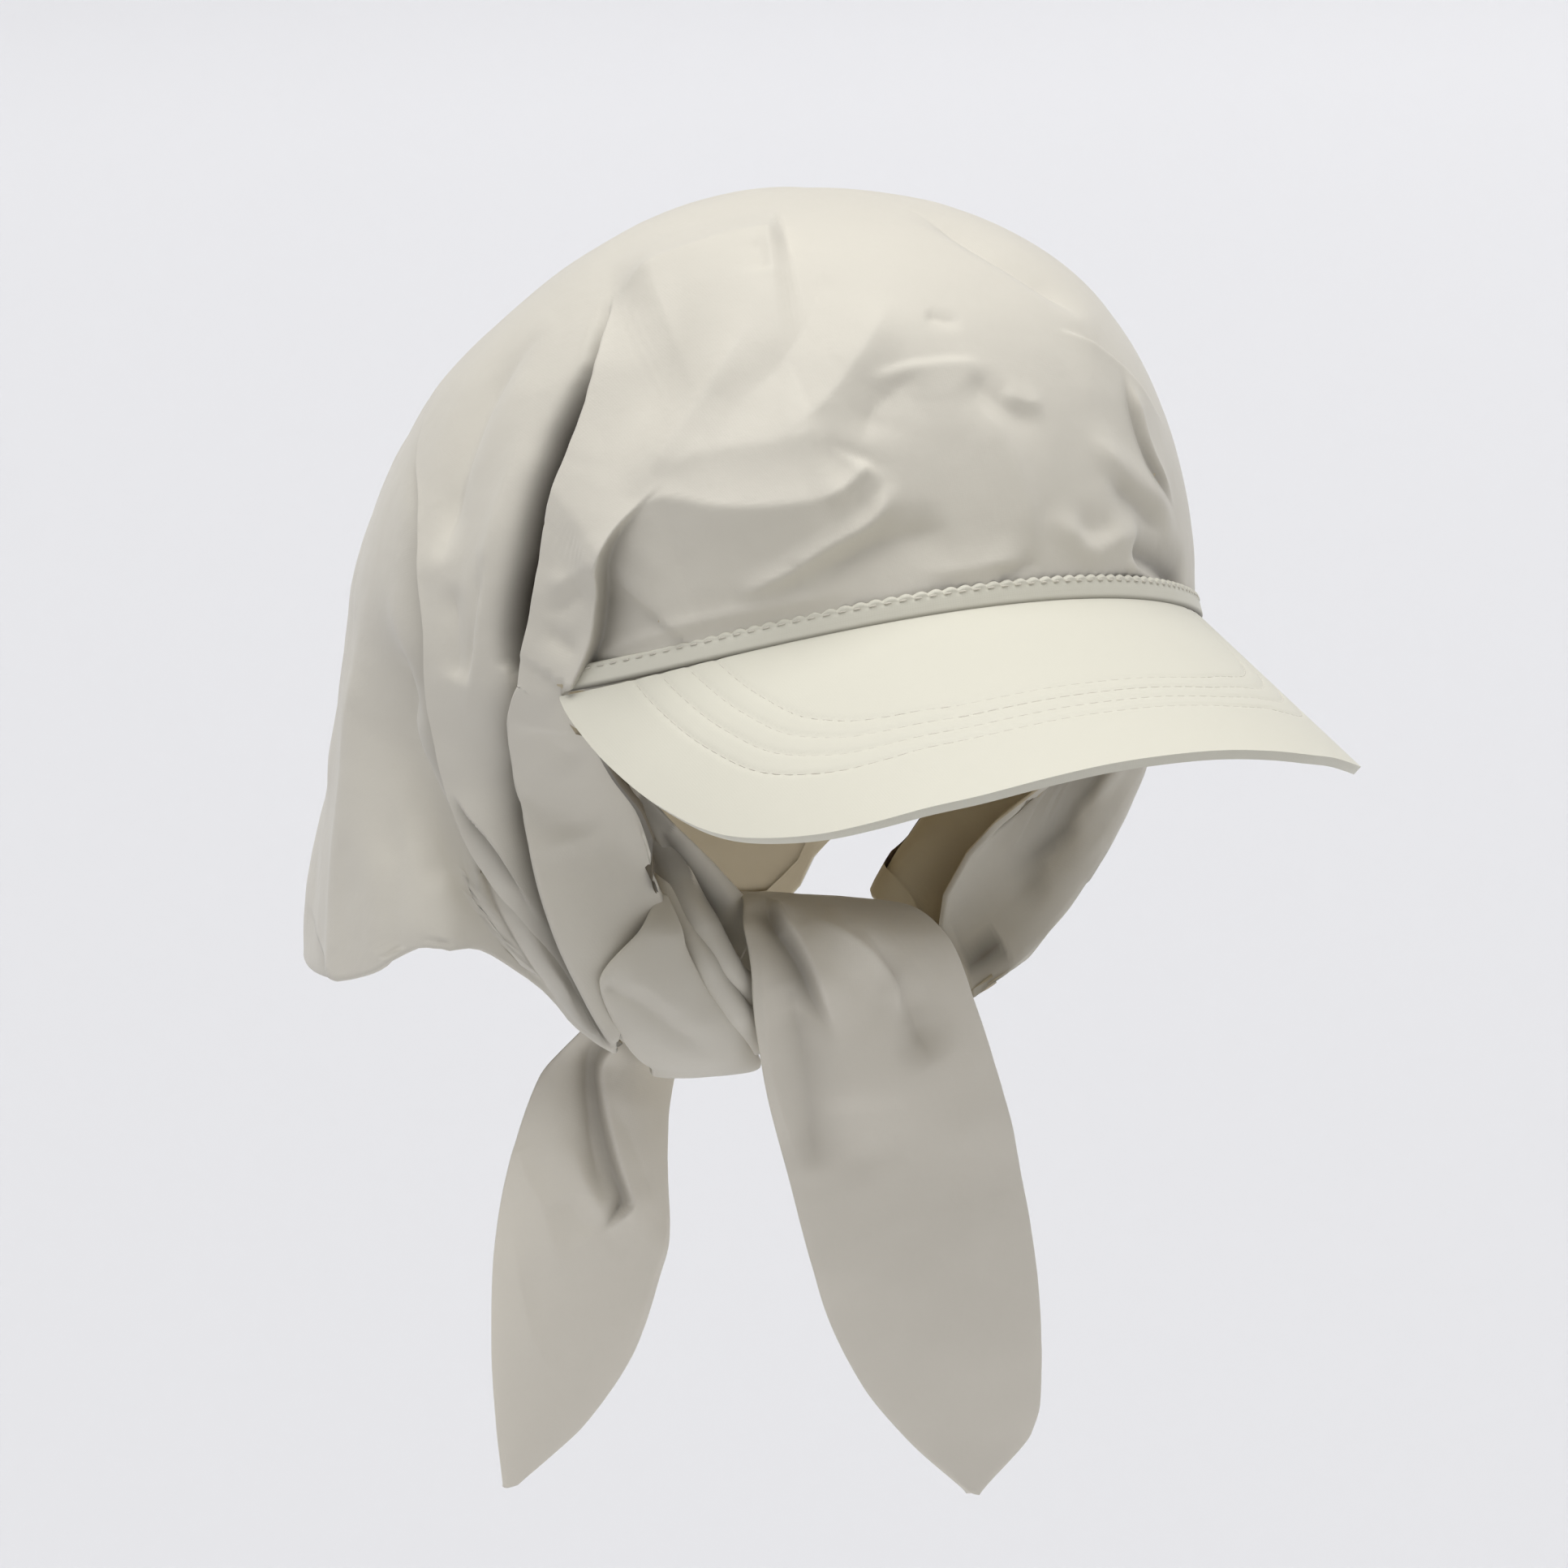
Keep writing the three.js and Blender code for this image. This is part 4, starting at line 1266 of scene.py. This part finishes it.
    def axis(self, spot: np.ndarray) -> np.ndarray:
        """Find the nearest places on the line that the board is bent round.

        Args:
            spot: Points of the peak.

        Returns:
            A place on the line for each point.
        """
        c, s = math.cos(math.radians(FORM.slope)), math.sin(math.radians(FORM.slope))
        start = np.array([0, -FORM.front + s * FORM.radius, FORM.seam_height - c * FORM.radius])
        along = np.array([0, -c, -s])
        return start + ((spot - start) @ along)[:, None] * along

    def thicken(self, board: bpy.types.Object) -> None:
        """Give the board its thickness and its rounded edge.

        Args:
            board: The board, as one sheet.
        """
        up = board.modifiers.new("thickness", "SOLIDIFY")
        up.thickness = self.thick * MM
        up.offset = 0
        if board.data.polygons[0].normal.z < 0:
            board.data.flip_normals()
        bpy.context.view_layer.objects.active = board
        board.select_set(True)
        bpy.ops.object.modifier_apply(modifier=up.name)
        soft = board.modifiers.new("rounding", "BEVEL")
        soft.width = self.rounding * self.thick * MM
        soft.segments = 4
        soft.limit_method = "ANGLE"
        soft.angle_limit = math.radians(60)
        bpy.ops.object.modifier_apply(modifier=soft.name)
        bpy.ops.object.shade_smooth()
        layer = board.data.uv_layers.active or board.data.uv_layers.new(name="flat")
        layer.name = "flat"
        places = np.empty(len(board.data.vertices) * 3)
        board.data.vertices.foreach_get("co", places)
        loops = np.empty(len(board.data.loops), np.int32)
        board.data.loops.foreach_get("vertex_index", loops)
        flat = places.reshape(-1, 3)[loops, :2] / MM
        flat[:, 0] = FORM.radius * np.arcsin(np.clip(flat[:, 0] / FORM.radius, -1, 1))
        layer.data.foreach_set("uv", flat.ravel())

    def stitches(self) -> None:
        """Sew the four rows, each at its distance from the front edge."""
        line = self.front_edge(500)
        along = unit(np.gradient(line, axis=0))
        inward = np.stack([along[:, 1], -along[:, 0]], -1)
        inward *= np.sign(np.sum(inward * ([0, 20] - line), 1))[:, None]
        rows = []
        seam = np.stack(FORM.seam_on_board(np.linspace(-FORM.corner, FORM.corner, 400), 1.4), -1)
        for number in range(self.rows):
            row = line + inward * self.row_distance(line[:, 0] + 16 * inward[:, 0], number)[:, None]
            clear = row[:, 1] > np.interp(row[:, 0], seam[:, 0], seam[:, 1]) + self.seam_gap
            row = row[clear & (np.abs(row[:, 0]) < seam[-1, 0])]
            spot = FORM.on_peak(row[:, 0], row[:, 1])
            rows.append(spot + unit(spot - self.axis(spot)) * (self.thick / 2 - self.groove))
        self.keep(sew("peak_stitches", rows, *self.stitch), THREAD.material(), Slot.PEAK)


def sew(name: str, rows: list[np.ndarray], pitch: float, length: float, radius: float) -> bpy.types.Object:
    """Lay stitches along rows as one piece.

    Args:
        name: Name of the piece.
        rows: Lines that the stitches follow.
        pitch: Distance from one stitch to the next.
        length: Length of a stitch.
        radius: Its thread's radius.

    Returns:
        The piece.
    """
    bpy.ops.object.select_all(action="DESELECT")
    bpy.ops.mesh.primitive_uv_sphere_add(segments=6, ring_count=5, radius=1)
    one = bpy.context.object
    verts = np.empty(len(one.data.vertices) * 3)
    one.data.vertices.foreach_get("co", verts)
    verts = verts.reshape(-1, 3)
    faces = np.array([[*p.vertices, p.vertices[-1]][:4] for p in one.data.polygons])
    bpy.data.objects.remove(one)
    verts = np.sign(verts) * np.abs(verts) ** (1, 1, 0.6)
    made, sides = [], []
    for row in rows:
        far = np.concatenate([[0], np.cumsum(np.linalg.norm(np.diff(row, axis=0), axis=1))])
        for at in np.arange(pitch / 2, far[-1] - pitch / 2, pitch):
            ends = at + np.array([-length / 2, length / 2])
            a, b = np.stack([np.interp(ends, far, row[:, k]) for k in range(3)], -1)
            aim = Vector(b - a).to_track_quat("Z", "Y").to_matrix()
            sides.append(faces + len(made) * len(verts))
            made.append((a + b) / 2 + (verts * (radius, radius, length / 2)) @ np.array(aim).T)
    return make_piece(name, np.vstack(made), np.vstack(sides))


@dataclass
class SeamBand(Assembly):
    """Narrow topstitched band round the crown just above the peak.

    Attributes:
        hood: The crown that it is sewn to.
        section: Its section from the foot to the top: height above the seam and distance from the cloth.
        lift: Height of the band above the peak's seam.
        short: Turn by which it ends short of the peak's corners.
        pitch: Distance from one stitch to the next.
        stitch: Length of a stitch and its thread's radius.
        thread: Height and distance from the cloth at which the stitches lie.
        pull: How far each stitch pulls the upper lip in and down.
        lumpy: Turns between which the stitches begin to pull.
        foot: Strength of the shade painted at the band's foot, and the share of its section that it covers.
        lip: Share of its section below the upper lip, and the share in which the lip begins.
        columns: Points of its mesh along it.
        steps: Points across it.
    """

    hood: Hood = field(default_factory=Hood)
    section: Table = Table("at up out", (
        (0, -1.1, 0.3), (0.1, -0.8, 1.4), (0.25, 0, 1.75), (0.5, 1.2, 1.5), (0.75, 2.5, 1.1),
        (0.86, 3.1, 0.85), (0.94, 3.5, 0.8), (1, 3.8, 0),
    ))
    lift: float = 1.0
    short: float = 1.0
    pitch: float = 3.0
    stitch: tuple[float, float] = (1.6, 0.17)
    thread: tuple[float, float] = (3.1, 1.0)
    pull: tuple[float, float] = (0.25, 0.6)
    lumpy: tuple[float, float] = (-50.0, -34.0)
    foot: tuple[float, float] = (0.9, 0.36)
    lip: tuple[float, float] = (0.72, 0.2)
    columns: int = 520
    steps: int = 26

    def line(self, turns: np.ndarray, up: float, out: float) -> np.ndarray:
        """Work out a line along the band.

        Args:
            turns: Turns from the front, in degrees.
            up: Height above the band's foot.
            out: Distance from the cloth.

        Returns:
            A point for each turn.
        """
        raised = np.array([0, 0, self.lift + up])
        return self.hood.point(turns, np.ones_like(turns)) + unit(FORM.rim(turns)) * out + raised

    def build(self) -> None:
        """Make the band and its stitches."""
        turns = np.linspace(self.short - FORM.corner, FORM.corner - self.short, self.columns)
        middle = self.line(turns, 0, 0)
        far = np.concatenate([[0], np.cumsum(np.linalg.norm(np.diff(middle, axis=0), axis=1))])
        pull = np.abs(np.sin(math.pi * far / self.pitch))
        first, full = self.lumpy
        lumps = smooth((turns - first) / (full - first))
        grid, painted_shade = [], []
        for at in np.linspace(0, 1, self.steps):
            # Shade painted along the band's foot, where it meets the peak
            painted_shade.append(np.full(len(turns), self.foot[0] * (1 - smooth(np.array(at / self.foot[1])))))
            up, out = (float(self.section.value(name, np.array(at))) for name in ("up", "out"))
            lip = smooth(np.array((at - self.lip[0]) / self.lip[1]))
            row = self.line(turns, 0, 0)
            row += unit(FORM.rim(turns)) * (out + self.pull[0] * lip * (pull - 0.5) * lumps)[:, None]
            row[:, 2] += up + self.pull[1] * lip * (pull - 0.5) * lumps
            grid.append(row)
        grid = np.array(grid)[::-1]
        index = np.arange(grid.shape[0] * grid.shape[1]).reshape(grid.shape[:2])
        width = np.linspace(0, 6, self.steps)
        uv = np.stack(np.broadcast_arrays(far[None, :], width[:, None]), -1).reshape(-1, 2)
        obj = make_piece(
            "seam_band_cloth", grid.reshape(-1, 3), grid_faces(index, False), uv, np.concatenate(painted_shade[::-1])
        )
        self.keep(obj, PEAK_CLOTH.material(), Slot.PEAK)
        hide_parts("seam_band")
        stitches = sew("seam_stitches", [self.line(turns, *self.thread)], self.pitch, *self.stitch)
        self.keep(stitches, THREAD.material(), Slot.PEAK)


@dataclass
class Ribbon:
    """A hanging or wrapped strip of doubled cloth between two edges.

    Attributes:
        name: The piece's name.
        edges: Its left and right edge from its top to its end, and how far its middle bulges to the front.
        folds: Its folds.
        thick: Its thickness.
        full: Power of its section; a low one makes it round and a high one flat.
        columns: Its mesh's stretches across it.
        rows: Those along it.
        creases: Width and height of the cloth's creases.
        pattern: Offset of their pattern.
        rolled: Share by which its columns lie closer together at the edges.
        thinnest: Least width that its thickness is taken from.
    """

    name: str
    edges: Table
    folds: list[Fold]
    thick: float
    full: float = 6.0
    columns: int = 60
    rows: int = 150
    creases: tuple[float, float] = (20.0, 0.3)
    pattern: float = 11.3
    rolled: float = 0.65
    thinnest: float = 0.6

    def point(self, across: np.ndarray, down: np.ndarray) -> np.ndarray:
        """Work out places on the strip's middle without its folds.

        Args:
            across: Shares of the way from its left to its right edge.
            down: Shares of the way from its top to its end.

        Returns:
            A point for each pair.
        """
        across, down = np.broadcast_arrays(np.asarray(across, float), np.asarray(down, float))
        value = {name: self.edges.value(name, down) for name in self.edges.names.split()[1:]}
        left = np.stack([value["lx"], value["ly"], value["lz"]], -1)
        right = np.stack([value["rx"], value["ry"], value["rz"]], -1)
        made = left + (right - left) * across[..., None]
        made[..., 1] -= value["bulge"] * 4 * across * (1 - across)
        return made

    def mesh(self) -> bpy.types.Object:
        """Make the closed strip with rolled edges.

        Returns:
            The piece.
        """
        across = 0.5 - 0.5 * np.cos(np.linspace(0, math.pi, self.columns + 1))
        across = self.rolled * across + (1 - self.rolled) * np.linspace(0, 1, self.columns + 1)
        downs = np.linspace(0, 1, self.rows + 1)
        flat = self.point(across[None, :], downs[:, None])
        by_across = np.gradient(flat, axis=1)
        by_down = np.gradient(flat, axis=0)
        normals = unit(np.cross(by_down, by_across))
        lines = [self.point(*curve(fold.route).T) for fold in self.folds]
        lift, shift, painted_shade = fold_cloth(self.folds, lines, flat.reshape(-1, 3), normals.reshape(-1, 3))
        lift += crumple(flat.reshape(-1, 3), *self.creases, self.pattern)
        rim = (1 - np.abs(2 * across - 1) ** self.full) ** 0.5
        middle = flat + normals * lift.reshape(flat.shape[:2])[..., None] + shift.reshape(flat.shape)
        span = np.linalg.norm(flat[:, -1] - flat[:, 0], axis=1, keepdims=True)
        puff = normals * (rim * np.minimum(self.thick, np.maximum(span, self.thinnest)) / 2)[..., None]
        loop = np.concatenate([(middle + puff), (middle - puff)[:, -2:0:-1]], axis=1)
        count = loop.shape[1]
        index = np.arange(loop.size // 3).reshape(loop.shape[:2])
        verts = np.vstack([loop.reshape(-1, 3), loop[0].mean(0), loop[-1].mean(0)])
        top, foot = len(verts) - 2, len(verts) - 1
        index = np.vstack([np.full((1, count), top), index, np.full((1, count), foot)])
        length = np.linalg.norm(np.diff(flat[:, self.columns // 2], axis=0), axis=1).sum()
        u = np.concatenate([across, 2 - across[-2:0:-1]]) * span.max()
        uv = np.stack(np.broadcast_arrays(u[None, :], (downs * length)[:, None]), -1).reshape(-1, 2)
        painted_shade = painted_shade.reshape(flat.shape[:2])
        painted_shade = np.concatenate([painted_shade, painted_shade[:, -2:0:-1]], axis=1).ravel()
        uv = np.vstack([uv, uv[:1], uv[-1:]])
        return make_piece(self.name, verts, grid_faces(index, True), uv, np.append(painted_shade, [0, 0]))


# The end that comes up behind the knot, over its top and down in front
FRONT_TAIL = Ribbon(
    "front_tail_cloth",
    Table("at lx ly lz rx ry rz bulge", (
        (0, -17, -13, -53, 19, -7, -60, 0),
        (0.05, -19, -24, -50.5, 24, -18, -59, 2),
        (0.12, -24.5, -36, -55, 26.5, -30, -63.5, 3),
        (0.22, -25, -40, -65.5, 30, -35, -76.5, 4),
        (0.36, -22, -39, -84.2, 35.5, -37, -94.7, 5),
        (0.5, -15.6, -36.4, -104.7, 39.6, -37.6, -112.3, 4),
        (0.67, -9.1, -36.3, -128, 42.9, -39.9, -135.8, 3),
        (0.78, -4.5, -35.1, -140.7, 44, -40.4, -152, 2.5),
        (0.88, 4.1, -34.7, -157.1, 44.5, -39.3, -165.4, 1.5),
        (0.94, 14.7, -35, -170.5, 43.2, -38, -172.4, 0.8),
        (1, 28.4, -36.7, -184, 31.2, -36.2, -184.5, 0),
    )),
    [
        Fold(((.12, .06), (.18, .118), (.22, .163), (.25, .205), (.28, .25), (.3, .3)),
             lap=2.4, fade=9, over=1, step=.9, deep=2.6, dip=5, painted_dark=.5, start=.1, end=.45),
        Fold(((.16, .2), (.17, .29), (.16, .38), (.13, .46), (.1, .52)),
             rise=-2.4, wide=4.5, painted_dark=.2, start=.2),
        # A wide shallow valley with shade painted along the tail's top, under the knot and the peak
        Fold(((-.1, .05), (.5, .045), (1.1, .05)), rise=-.3, wide=13, crest=2, painted_dark=.32, start=.02, end=.02),
        Fold(((.03, .1), (.035, .24), (.03, .35), (.04, .43), (.06, .54)), rise=1, wide=2.4),
        Fold(((.23, .08), (.38, .13), (.51, .165), (.6, .2), (.62, .26)), rise=3.4, wide=4.5, lean=.3),
        Fold(((.5, .12), (.61, .175), (.67, .225), (.68, .278), (.69, .33)), rise=-3.2, wide=5, painted_dark=.15),
        Fold(((.3, .38), (.26, .45), (.3, .53)), rise=-.8, wide=8),
        Fold(((.8, .35), (.74, .52), (.7, .7)), rise=.9, wide=9),
    ],
    thick=1.9, columns=110, rows=230,
)

# The end that hangs down behind the knot
REAR_TAIL = Ribbon(
    "rear_tail_cloth",
    Table("at lx ly lz rx ry rz bulge", (
        (0, -39, -13, -70, -23, -10.5, -73, 0),
        (0.07, -47.5, -5, -81.5, -25, -6, -91, 1.5),
        (0.17, -54.4, -1, -90.8, -28.1, -8, -101.2, 4),
        (0.3, -60.7, -1.6, -105.4, -29.3, -9.4, -112.1, 5),
        (0.43, -64.4, -2, -118.8, -28.6, -9, -126.2, 5),
        (0.54, -66, -2.2, -131, -30, -7.8, -135.5, 4),
        (0.7, -66.8, -3, -147, -34.2, -5, -151, 2.5),
        (0.86, -66, -3, -163, -45, -3, -166.5, 1),
        (1, -64, -2, -178, -60.5, -2, -177.5, 0),
    )),
    [
        Fold(((.3, .03), (.3, .09), (.42, .16), (.54, .235), (.65, .315), (.69, .36), (.62, .395),
              (.53, .43)), lap=2.6, fade=7, over=.8, step=.8, deep=1.8, dip=3.2, painted_dark=.4, start=.1, end=.25),
        Fold(((.13, .05), (.3, .15), (.41, .23), (.5, .31), (.55, .375)), rise=-4, wide=4, start=.15, end=.3),
        Fold(((.27, .25), (.4, .32), (.48, .365), (.53, .42)), rise=1.4, wide=2.4, crest=1.6),
        Fold(((0, .28), (.1, .34), (.21, .398), (.3, .478), (.4, .56)),
             rise=1, wide=3.2, lean=-.35, start=.1),
        Fold(((.3, .362), (.39, .4), (.49, .44)), rise=-1.1, wide=3.5),
        Fold(((.07, .438), (.12, .517), (.18, .603), (.26, .685), (.46, .76)), rise=.9, wide=3, lean=-.3),
        Fold(((.97, .33), (.93, .43), (.91, .52), (.9, .63), (.94, .74)), rise=1, wide=2.4, crest=1.6),
        Fold(((.46, .15), (.65, .22), (.78, .295), (.86, .36)), rise=-.8, wide=2.6),
    ],
    thick=1.9, columns=80, rows=190,
)

# The knot: the layer wrapped round it, two strands and a layer that run into it from the near sweep, and the
# gathered cloth inside, which reaches over to the far sweep
KNOT_PARTS = [
    Ribbon(
        "knot_wrap",
        Table("at lx ly lz rx ry rz bulge", (
            (0, -41, -29, -47, -39, -30, -48, 0),
            (0.17, -49.5, -36, -53, -39, -37, -54.5, 1.2),
            (0.33, -57.5, -36, -61.5, -36, -38.5, -62.5, 1.6),
            (0.5, -54.3, -35.5, -70.5, -30, -38, -70.5, 2.2),
            (0.67, -47.3, -31.5, -79.5, -23, -35, -78, 2.6),
            (0.83, -40.5, -25, -84.5, -18, -30.5, -84, 2.4),
            (0.92, -36, -16, -88, -15, -24, -87.5, 1.5),
            (1, -33, -8, -86, -14, -14, -86, 0),
        )),
        [
            Fold(((.02, .33), (.3, .42), (.45, .55), (.6, .7)), rise=-1.6, wide=2.2, crest=1.5, start=.1),
            Fold(((.1, .3), (.4, .36), (.6, .5)), rise=1, wide=4),
        ],
        thick=2.2, columns=40, rows=90,
    ),
    Ribbon(
        "knot_strand_low",
        Table("at lx ly lz rx ry rz bulge", (
            (0, -39.2, -22.6, -42.9, -36.2, -23.6, -42.9, 0),
            (0.25, -39.6, -28.3, -52.7, -33.6, -30.3, -51.7, 1),
            (0.5, -37, -35, -62, -30, -36, -61, 1.4),
            (0.75, -31, -36, -71, -25, -36, -69, 1.4),
            (1, -21, -33, -82, -17, -32, -77, 0.6),
        )),
        [
            Fold(((.5, .1), (.55, .5), (.5, .9)), rise=.8, wide=2.5),
            Fold(((.97, .2), (.97, .95)), rise=-.6, wide=1.6, painted_dark=1),
        ],
        thick=4.5, full=2.4, columns=28, rows=70,
    ),
    Ribbon(
        "knot_strand_high",
        Table("at lx ly lz rx ry rz bulge", (
            (0, -42.8, -22, -33.6, -36.8, -24, -34.6, 0),
            (0.25, -38.2, -24.7, -45.4, -31.2, -26.7, -45.4, 1),
            (0.5, -35.3, -32.7, -54.3, -29.3, -33.7, -53.3, 1.4),
            (0.75, -31, -36, -64, -26, -36, -61, 1.2),
            (1, -22, -34, -74, -18, -33, -67, 0.4),
        )),
        [
            Fold(((.4, .1), (.45, .5), (.5, .9)), rise=.7, wide=2.5),
            Fold(((.97, .2), (.97, .95)), rise=-.6, wide=1.8, painted_dark=1),
            # Shade painted along the strand's top, under the peak
            Fold(((-.2, .12), (1.2, .12)), rise=-.2, wide=9, crest=2, painted_dark=.6, start=.01, end=.01),
        ],
        thick=4.5, full=2.4, columns=28, rows=70,
    ),
    Ribbon(
        "knot_inner_layer",
        Table("at lx ly lz rx ry rz bulge", (
            (0, -49, -30, -21, -44, -30, -25, 0),
            (0.25, -41, -26, -34, -33, -26, -36, 0.6),
            (0.5, -35, -25.5, -45.5, -25, -24, -44, 1),
            (0.75, -30, -26.5, -56.5, -18.5, -23.5, -50.5, 1),
            (1, -23.5, -27.5, -67, -14.5, -23.5, -54, 0.4),
        )),
        [
            Fold(((.3, .1), (.35, .5), (.4, .9)), rise=-1, wide=2.5, painted_dark=.8),
            Fold(((.12, .3), (.12, .95)), rise=-.5, wide=3.5, crest=2, painted_dark=1.1),
            # Shade painted along the layer's top, under the peak
            Fold(((-.2, .15), (1.2, .15)), rise=-.2, wide=14, crest=2, painted_dark=.5, start=.01, end=.01),
            Fold(((.75, .1), (.7, .9)), rise=.6, wide=2.5),
        ],
        thick=2.0, columns=30, rows=70,
    ),
    Ribbon(
        "knot_core",
        Table("at lx ly lz rx ry rz bulge", (
            (0, -47, -22, -60, -46, -22, -78, 0),
            (0.15, -38, -21, -52, -38, -20, -84, 1),
            (0.45, -22, -20, -54, -22, -18, -84, 1),
            (0.7, 2, -17, -59, 2, -16, -79, 0.5),
            (0.86, 20, -13.5, -64, 20, -13.5, -75, 0),
            (1, 35, -14, -69.5, 35.5, -14.5, -76, 0),
        )),
        [],
        thick=16, full=2.2, columns=30, rows=60,
    ),
]


@dataclass
class Ties(Assembly):
    """The knot's gathered cloth and its two hanging ends."""

    def build(self) -> None:
        """Make the strips of the knot and both tails."""
        cloth = SHELL.material()
        for part in KNOT_PARTS:
            obj = self.keep(part.mesh(), cloth, Slot.SHELL)
            if part.name == "knot_wrap":
                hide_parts("knot")
        # The tails take the shell cloth painted lighter, as painted light
        thin = LIGHTENED_TAIL_CLOTH.material()
        for tail, node in ((FRONT_TAIL, "front_tail"), (REAR_TAIL, "rear_tail")):
            obj = self.keep(tail.mesh(), thin, Slot.SHELL)
            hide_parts(node)


@dataclass
class Studio:
    """Pale floor, soft lights and the camera.

    Attributes:
        azimuth: The camera's side, in degrees from straight in front.
        elevation: Its angle above the level, in degrees.
        distance: Its distance from the place that it aims at.
        focal_pixels: Its focal length in pixels of the picture.
        picture_pixels: The picture's width in pixels.
        aim: The place in the middle of the picture.
        floor_z: Height of the floor.
        pale: Colour of the light from all round.
        paper: Colour of the floor's paper.
        key: Strength of the light from above, and the angle that it fills.
        front: The same for the light from the photograph's left.
        around: Strength of the light from all round.
    """

    azimuth: float = -28.12
    elevation: float = 12.93
    distance: float = 1300.0
    focal_pixels: float = 7694.7
    picture_pixels: float = 1932.0
    aim: tuple[float, float, float] = (-0.517, -8.182, -32.495)
    floor_z: float = -520.0
    pale: str = "#EDEDEF"
    paper: str = "#CFCFD1"
    key: tuple[float, float] = (2.85, 55.0)
    front: tuple[float, float] = (1.55, 45.0)
    around: float = 0.36

    def build(self) -> None:
        """Set up the floor, the lights and the camera."""
        a, e = math.radians(self.azimuth), math.radians(self.elevation)
        back = Vector((math.sin(a) * math.cos(e), -math.cos(a) * math.cos(e), math.sin(e)))
        right = Vector((math.cos(a), math.sin(a), 0))
        up = back.cross(right)
        self.camera(back, right, up)
        self.backdrop()
        self.sun("key", back * 0.14 - right * 0.1 + Vector((0, 0, 1)), *self.key)
        self.sun("front", back - right * 0.9 + Vector((0, 0, 0.45)), *self.front)
        world = bpy.data.worlds.new("studio")
        world.use_nodes = True
        world.node_tree.nodes["Background"].inputs["Color"].default_value = linear(self.pale)
        world.node_tree.nodes["Background"].inputs["Strength"].default_value = self.around
        bpy.context.scene.world = world
        bpy.context.scene.view_settings.view_transform = "Standard"

    def camera(self, back: Vector, right: Vector, up: Vector) -> None:
        """Put the camera at the photograph's place.

        Args:
            back: Direction from the object to the camera.
            right: The picture's right.
            up: The picture's top.
        """
        data = bpy.data.cameras.new("camera")
        data.sensor_width = 36
        data.lens = self.focal_pixels / self.picture_pixels * data.sensor_width
        data.clip_end = 50
        obj = bpy.data.objects.new("camera", data)
        bpy.context.scene.collection.objects.link(obj)
        place = (Vector(self.aim) + back * self.distance) * MM
        obj.matrix_world = Matrix.Translation(place) @ Matrix((right, up, back)).transposed().to_4x4()
        bpy.context.scene.camera = obj

    def sun(self, name: str, place: Vector, power: float, spread: float) -> None:
        """Add a soft light that is the same all over the floor.

        Args:
            name: Its name.
            place: The side that it comes from.
            power: Its power in watts per square metre.
            spread: Angle that it fills, in degrees.
        """
        data = bpy.data.lights.new(name, "SUN")
        data.energy = power
        data.angle = math.radians(spread)
        obj = bpy.data.objects.new(name, data)
        bpy.context.scene.collection.objects.link(obj)
        obj.rotation_euler = place.to_track_quat("Z", "Y").to_euler()

    def backdrop(self) -> None:
        """Make a round pale floor that rises into the background."""
        turns = np.linspace(0, 360, 97)[:-1]
        # The paper's section in metres, from its middle out and up
        section = (
            (0.01, 0), (3, 0), (7, 0), (8.2, 0.12), (9.1, 0.6), (9.7, 1.6), (10, 3.2), (10, 8), (10, 12),
        )
        line = curve(section, 6) / MM
        out, up = line[:, :1], line[:, 1:] + self.floor_z
        t = np.radians(turns)
        grid = np.stack([out * np.sin(t), out * np.cos(t), up + 0 * t], -1)
        index = np.arange(grid.size // 3).reshape(grid.shape[:2])
        obj = make_piece("floor", grid.reshape(-1, 3), flipped(grid_faces(index, True)))
        # Matt seamless paper, which has no gloss
        made = bpy.data.materials.new("pale_paper")
        made.use_nodes = True
        shader = next(n for n in made.node_tree.nodes if n.type == "BSDF_PRINCIPLED")
        shader.inputs["Base Color"].default_value = linear(self.paper)
        shader.inputs["Roughness"].default_value = 1.0
        obj.data.materials.append(made)


def main() -> None:
    """Build the cap and its studio."""
    logging.basicConfig(level=logging.INFO, format="%(message)s")
    Studio().build()
    hood = Hood()
    hood.build()
    Peak().build()
    SeamBand(hood=hood).build()
    Ties().build()


if __name__ == "__main__":
    main()
